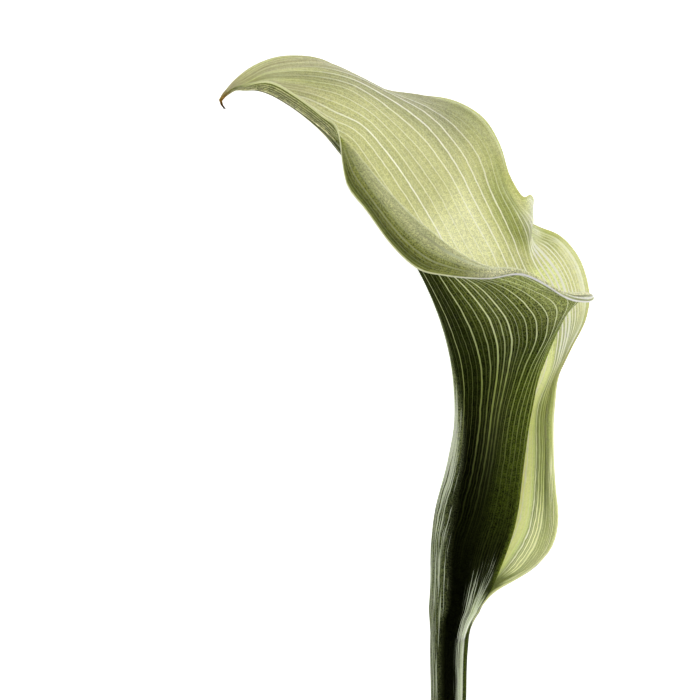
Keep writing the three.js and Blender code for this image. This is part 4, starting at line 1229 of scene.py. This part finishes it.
def stem_material(settings):
    """The leaf's skin on the stem, and the cut end's pale flesh with its pores."""
    material = leaf_finish(
        "Ribbed stem skin", STEM_VEIN_WIDTH,
        subsurface_weight=0.1,
        subsurface_radius=(0.001, 0.0014, 0.0005),
        subsurface_scale=1.0,
        specular_ior_level=0.02,
    )
    finish = Graph(material.node_tree)
    surface = material.node_tree.nodes["Principled BSDF"]
    skin = Socket(finish, surface.inputs["Base Color"].links[0].from_socket)
    place = finish.node("ShaderNodeTexCoord", output="Object")
    pores = finish.node("ShaderNodeTexVoronoi", None, {"Vector": place, "Scale": PORE_SCALE})
    flesh = finish.mix(settings.flesh, PORE, 1 - finish.smooth(pores, 0.15, 0.4))
    cut = finish.node("ShaderNodeAttribute", {"attribute_name": "cut"}, output="Fac")
    finish.feed(surface.inputs["Base Color"], finish.mix(skin, flesh, finish.smooth(cut, 0.4, 0.6)))
    return material


class CALLA_OT_stem(bpy.types.Operator):
    """Make the ribbed stem with its cut end"""

    bl_idname = "calla.stem"
    bl_label = "Stem"

    def execute(self, context):
        piece = build_stem(context.scene.calla_stem, context.scene.calla_spathe)
        stands_for(piece, "stem")
        return {"FINISHED"}


# -------------------------------------------------------------------------------------- the spadix

SPADIX_ROWS = 90
SPADIX_NECK = 0.74           # its waist at the foot, as a share of the full radius
SPADIX_WIDEST = 0.31         # share of the way up where it is widest
SPADIX_ROUND_END = 0.1       # share of its length that the rounded top takes
SPADIX_TOP = 0.02            # the square of the share of its radius that the top closes to
GOLDEN_ANGLE = math.pi * (3 - math.sqrt(5))
HEAD_SCALE = 620.0           # florets in a metre, as the material darkens between them
POLLEN = linear(240, 224, 150)


def spadix_radius(share, radius):
    """The spike's radius at a share of its length: a waist, a belly and a rounded end."""
    belly = np.sin(np.minimum(2, share / SPADIX_WIDEST) * math.pi / 2)
    swell = SPADIX_NECK + (1 - SPADIX_NECK) * belly
    into_end = np.maximum(0, (share - 1) / SPADIX_ROUND_END + 1)
    return radius * swell * np.sqrt(np.maximum(SPADIX_TOP, 1 - into_end**2))


def spadix_growth(material):
    """Wraps a tube round an axis and sets florets on it in a spiral."""
    inputs = {
        "Florets": "Int", "Divergence": "Float", "Floret Width": "Float", "Floret Height": "Float",
        "Seed": "Int",
    }
    growth = Growth("Spike of florets", inputs)
    source = growth.input("Geometry")
    axis = growth.node("GeometryNodeMeshToCurve", None, {"Mesh": source})
    core_radius = growth.stored("spread")
    profile = growth.node(
        "GeometryNodeCurvePrimitiveCircle", None, {"Resolution": 32, "Radius": 1.0}
    )
    core = growth.node(
        "GeometryNodeCurveToMesh", None,
        {"Curve": axis, "Profile Curve": profile, "Scale": core_radius, "Fill Caps": True},
    )
    index = growth.node("GeometryNodeInputIndex")
    share = (index + 0.5) / growth.input("Florets")
    sample = growth.node(
        "GeometryNodeSampleCurve", {"mode": "FACTOR", "data_type": "FLOAT"},
        {"Curves": axis, "Value": core_radius, "Factor": share},
    )
    sampled = sample.output.node.outputs
    radius, place, tangent, normal = (Socket(growth, sampled[k]) for k in range(4))
    away = growth.node(
        "ShaderNodeVectorRotate", {"rotation_type": "AXIS_ANGLE"},
        {"Vector": normal, "Axis": tangent, "Angle": index * growth.input("Divergence")},
    )
    reach = growth.node("ShaderNodeVectorMath", {"operation": "SCALE"}, {0: away, "Scale": radius})
    site = growth.node("ShaderNodeVectorMath", {"operation": "ADD"}, {0: place, 1: reach})
    points = growth.node("GeometryNodePoints", None, {"Count": growth.input("Florets"), "Position": site})
    upright = growth.node("FunctionNodeAlignRotationToVector", {"axis": "Z"}, {"Vector": away})
    ball = growth.node("GeometryNodeMeshIcoSphere", None, {"Radius": 0.5, "Subdivisions": 2})
    chance = growth.node(
        "FunctionNodeRandomValue", {"data_type": "FLOAT"},
        {2: 0.86, 3: 1.08, "Seed": growth.input("Seed")}, output=1,
    )
    wide = growth.input("Floret Width") * chance
    size = growth.vector(wide, wide, growth.input("Floret Height") * 2.0 * chance)
    heads = growth.node(
        "GeometryNodeInstanceOnPoints", None,
        {"Points": points, "Instance": ball, "Rotation": upright, "Scale": size},
    )
    together = growth.tree.nodes.new("GeometryNodeJoinGeometry")
    growth.tree.links.new(core.output, together.inputs[0])
    growth.tree.links.new(heads.output, together.inputs[0])
    smooth = growth.node("GeometryNodeSetShadeSmooth", None, {0: Socket(growth, together.outputs[0])})
    growth.finish(smooth, material)
    return growth


def spadix_material(settings):
    """Powdery golden florets with darker pits between them."""
    finish = Finish(
        "Floret spike",
        subsurface_weight=0.25,
        subsurface_radius=(0.001, 0.0008, 0.0003),
        subsurface_scale=1.0,
    )
    grain = finish.noise(finish.object_place, 3000.0, 3.0, 0.6)
    heads = finish.node("ShaderNodeTexVoronoi", None, {"Vector": finish.object_place, "Scale": HEAD_SCALE})
    patchy = finish.noise(finish.object_place, 220.0, 2.0)
    golden = finish.mix(settings.floret, settings.pit, finish.smooth(heads, 0.3, 0.75) * 0.6)
    golden = finish.mix(golden, POLLEN, finish.smooth(patchy, 0.5, 0.75) * 0.4)
    finish.set(base_color=golden, roughness=0.7 + grain * 0.15, normal=finish.bump(grain, 0.0001, 0.5))
    return finish.material


def build_spadix(settings):
    """The spike: a tube along its axis, studded with florets."""
    shares = np.linspace(0, 1, SPADIX_ROWS)
    knots = np.linspace(0, 1, len(SPADIX_AXIS))
    axis = smooth_curve(knots, SPADIX_AXIS, shares)
    core = settings.radius - settings.floret_height * 0.75
    mesh = bpy.data.meshes.new("spadix.axis")
    mesh.from_pydata(((axis + ORIGIN) * MM).tolist(), [(k, k + 1) for k in range(SPADIX_ROWS - 1)], [])
    add_data(mesh, "spread", "FLOAT", spadix_radius(shares, core))
    inputs = {
        "Florets": settings.florets,
        "Divergence": GOLDEN_ANGLE,
        "Floret Width": settings.floret_width,
        "Floret Height": settings.floret_height,
        "Seed": 5,
    }
    axis_piece = linked("spadix.axis", mesh)
    return grown(axis_piece, spadix_growth(spadix_material(settings)), inputs, "spadix.florets")


class CALLA_OT_spadix(bpy.types.Operator):
    """Make the spike of florets that stands in the tube"""

    bl_idname = "calla.spadix"
    bl_label = "Spadix"

    def execute(self, context):
        piece = build_spadix(context.scene.calla_spadix)
        stands_for(piece, "spadix")
        return {"FINISHED"}


# --------------------------------------------------------------------------------------- the stage

VIEW_CENTRE = (-25.0, 62.5)      # what the camera looks down on, in the flower's own frame
FLOOR_SIZE = 6.0
FLOOR_GLOW = 0.72
FLOOR_SPECK = linear(244, 244, 244)
LIT_PLACE = (0.0, 0.06, 0.02)    # what the lights are turned toward


def floor_material(settings):
    """Pale matt paper that glows a little, so that the flower's shadow stays soft."""
    finish = Finish("Pale floor", specular_ior_level=0.0)
    speck = finish.noise(finish.object_place, 300.0, 2.0)
    shade = finish.mix(settings.floor, FLOOR_SPECK, speck)
    finish.set(base_color=shade, roughness=0.9 + speck * 0.05, emission_color=(1, 1, 1))
    finish.surface.inputs["Emission Strength"].default_value = FLOOR_GLOW
    return finish.material


def area_light(name, place, size, power, glossy=False):
    """A rectangular light turned toward the flower. Only a glossy one leaves a highlight."""
    light = bpy.data.lights.new(name, "AREA")
    light.shape = "RECTANGLE"
    light.size, light.size_y = size
    light.energy = power
    lamp = linked(name, light)
    lamp.location = place
    lamp.rotation_euler = (Vector(LIT_PLACE) - Vector(place)).to_track_quat("-Z", "Y").to_euler()
    lamp.visible_glossy = glossy


def build_stage(settings):
    """The floor, the world's even light, four soft lights and the camera."""
    half = FLOOR_SIZE / 2
    mesh = bpy.data.meshes.new("floor")
    corners = [(-half, -half, 0), (half, -half, 0), (half, half, 0), (-half, half, 0)]
    mesh.from_pydata(corners, [], [(0, 1, 2, 3)])
    floor = linked("floor", mesh)
    mesh.materials.append(floor_material(settings))

    world = bpy.data.worlds.new("Soft studio")
    world.use_nodes = True
    sky = Graph(world.node_tree)
    direction = sky.node("ShaderNodeTexCoord", output="Generated")
    height = sky.parts(direction)[2]
    background = world.node_tree.nodes["Background"]
    sky.feed(background.inputs["Strength"], 1.0 - 0.98 * sky.smooth(height, 0.15, 0.5))
    bpy.context.scene.world = world
    area_light("Right", (1.1, 0.05, 0.55), (1.6, 0.5), 6.0, glossy=True)
    area_light("Near", (0.0, -1.2, 0.8), (1.6, 0.6), 7.0)
    area_light("Beyond", (0.0, 1.3, 0.8), (1.6, 0.6), 7.0)
    area_light("Overhead", (0.0, 0.06, 1.5), (1.4, 1.4), 11.0)

    camera = bpy.data.cameras.new("Camera")
    camera.lens = settings.lens
    camera.sensor_width = 36
    camera.clip_end = 100
    seat = linked("Camera", camera)
    seat.location = (
        (VIEW_CENTRE[0] + ORIGIN[0]) * MM,
        (VIEW_CENTRE[1] + ORIGIN[1]) * MM,
        settings.camera_height + ORIGIN[2] * MM,
    )
    bpy.context.scene.camera = seat
    bpy.context.scene.view_settings.view_transform = "Standard"


class CALLA_OT_stage(bpy.types.Operator):
    """Make the floor, the soft light and the camera"""

    bl_idname = "calla.stage"
    bl_label = "Stage"

    def execute(self, context):
        build_stage(context.scene.calla_stage)
        return {"FINISHED"}


class CALLA_PT_panel(bpy.types.Panel):
    """Lists the flower's pieces and their settings"""

    bl_idname = "CALLA_PT_panel"
    bl_label = "Calla Lily"
    bl_space_type = "VIEW_3D"
    bl_region_type = "UI"
    bl_category = "Calla Lily"

    def draw(self, context):
        for group, _, operator in PIECES:
            box = self.layout.box()
            settings = getattr(context.scene, group)
            for key in settings.__annotations__:
                box.prop(settings, key)
            box.operator(operator.bl_idname)


# Each piece's settings in the scene, their class, and its operator.
PIECES = (
    ("calla_stage", StageSettings, CALLA_OT_stage),
    ("calla_stem", StemSettings, CALLA_OT_stem),
    ("calla_spadix", SpadixSettings, CALLA_OT_spadix),
    ("calla_spathe", SpatheSettings, CALLA_OT_spathe),
)
CLASSES = [kind for _, *pair in PIECES for kind in pair] + [CALLA_PT_panel]


def register():
    for kind in CLASSES:
        bpy.utils.register_class(kind)
    for label, kind, _ in PIECES:
        setattr(bpy.types.Scene, label, bpy.props.PointerProperty(type=kind))


def unregister():
    for label, _, _ in PIECES:
        delattr(bpy.types.Scene, label)
    for kind in reversed(CLASSES):
        bpy.utils.unregister_class(kind)


def main():
    register()
    bpy.ops.calla.stage()
    bpy.ops.calla.stem()
    bpy.ops.calla.spadix()
    bpy.ops.calla.spathe()


if __name__ == "__main__":
    main()
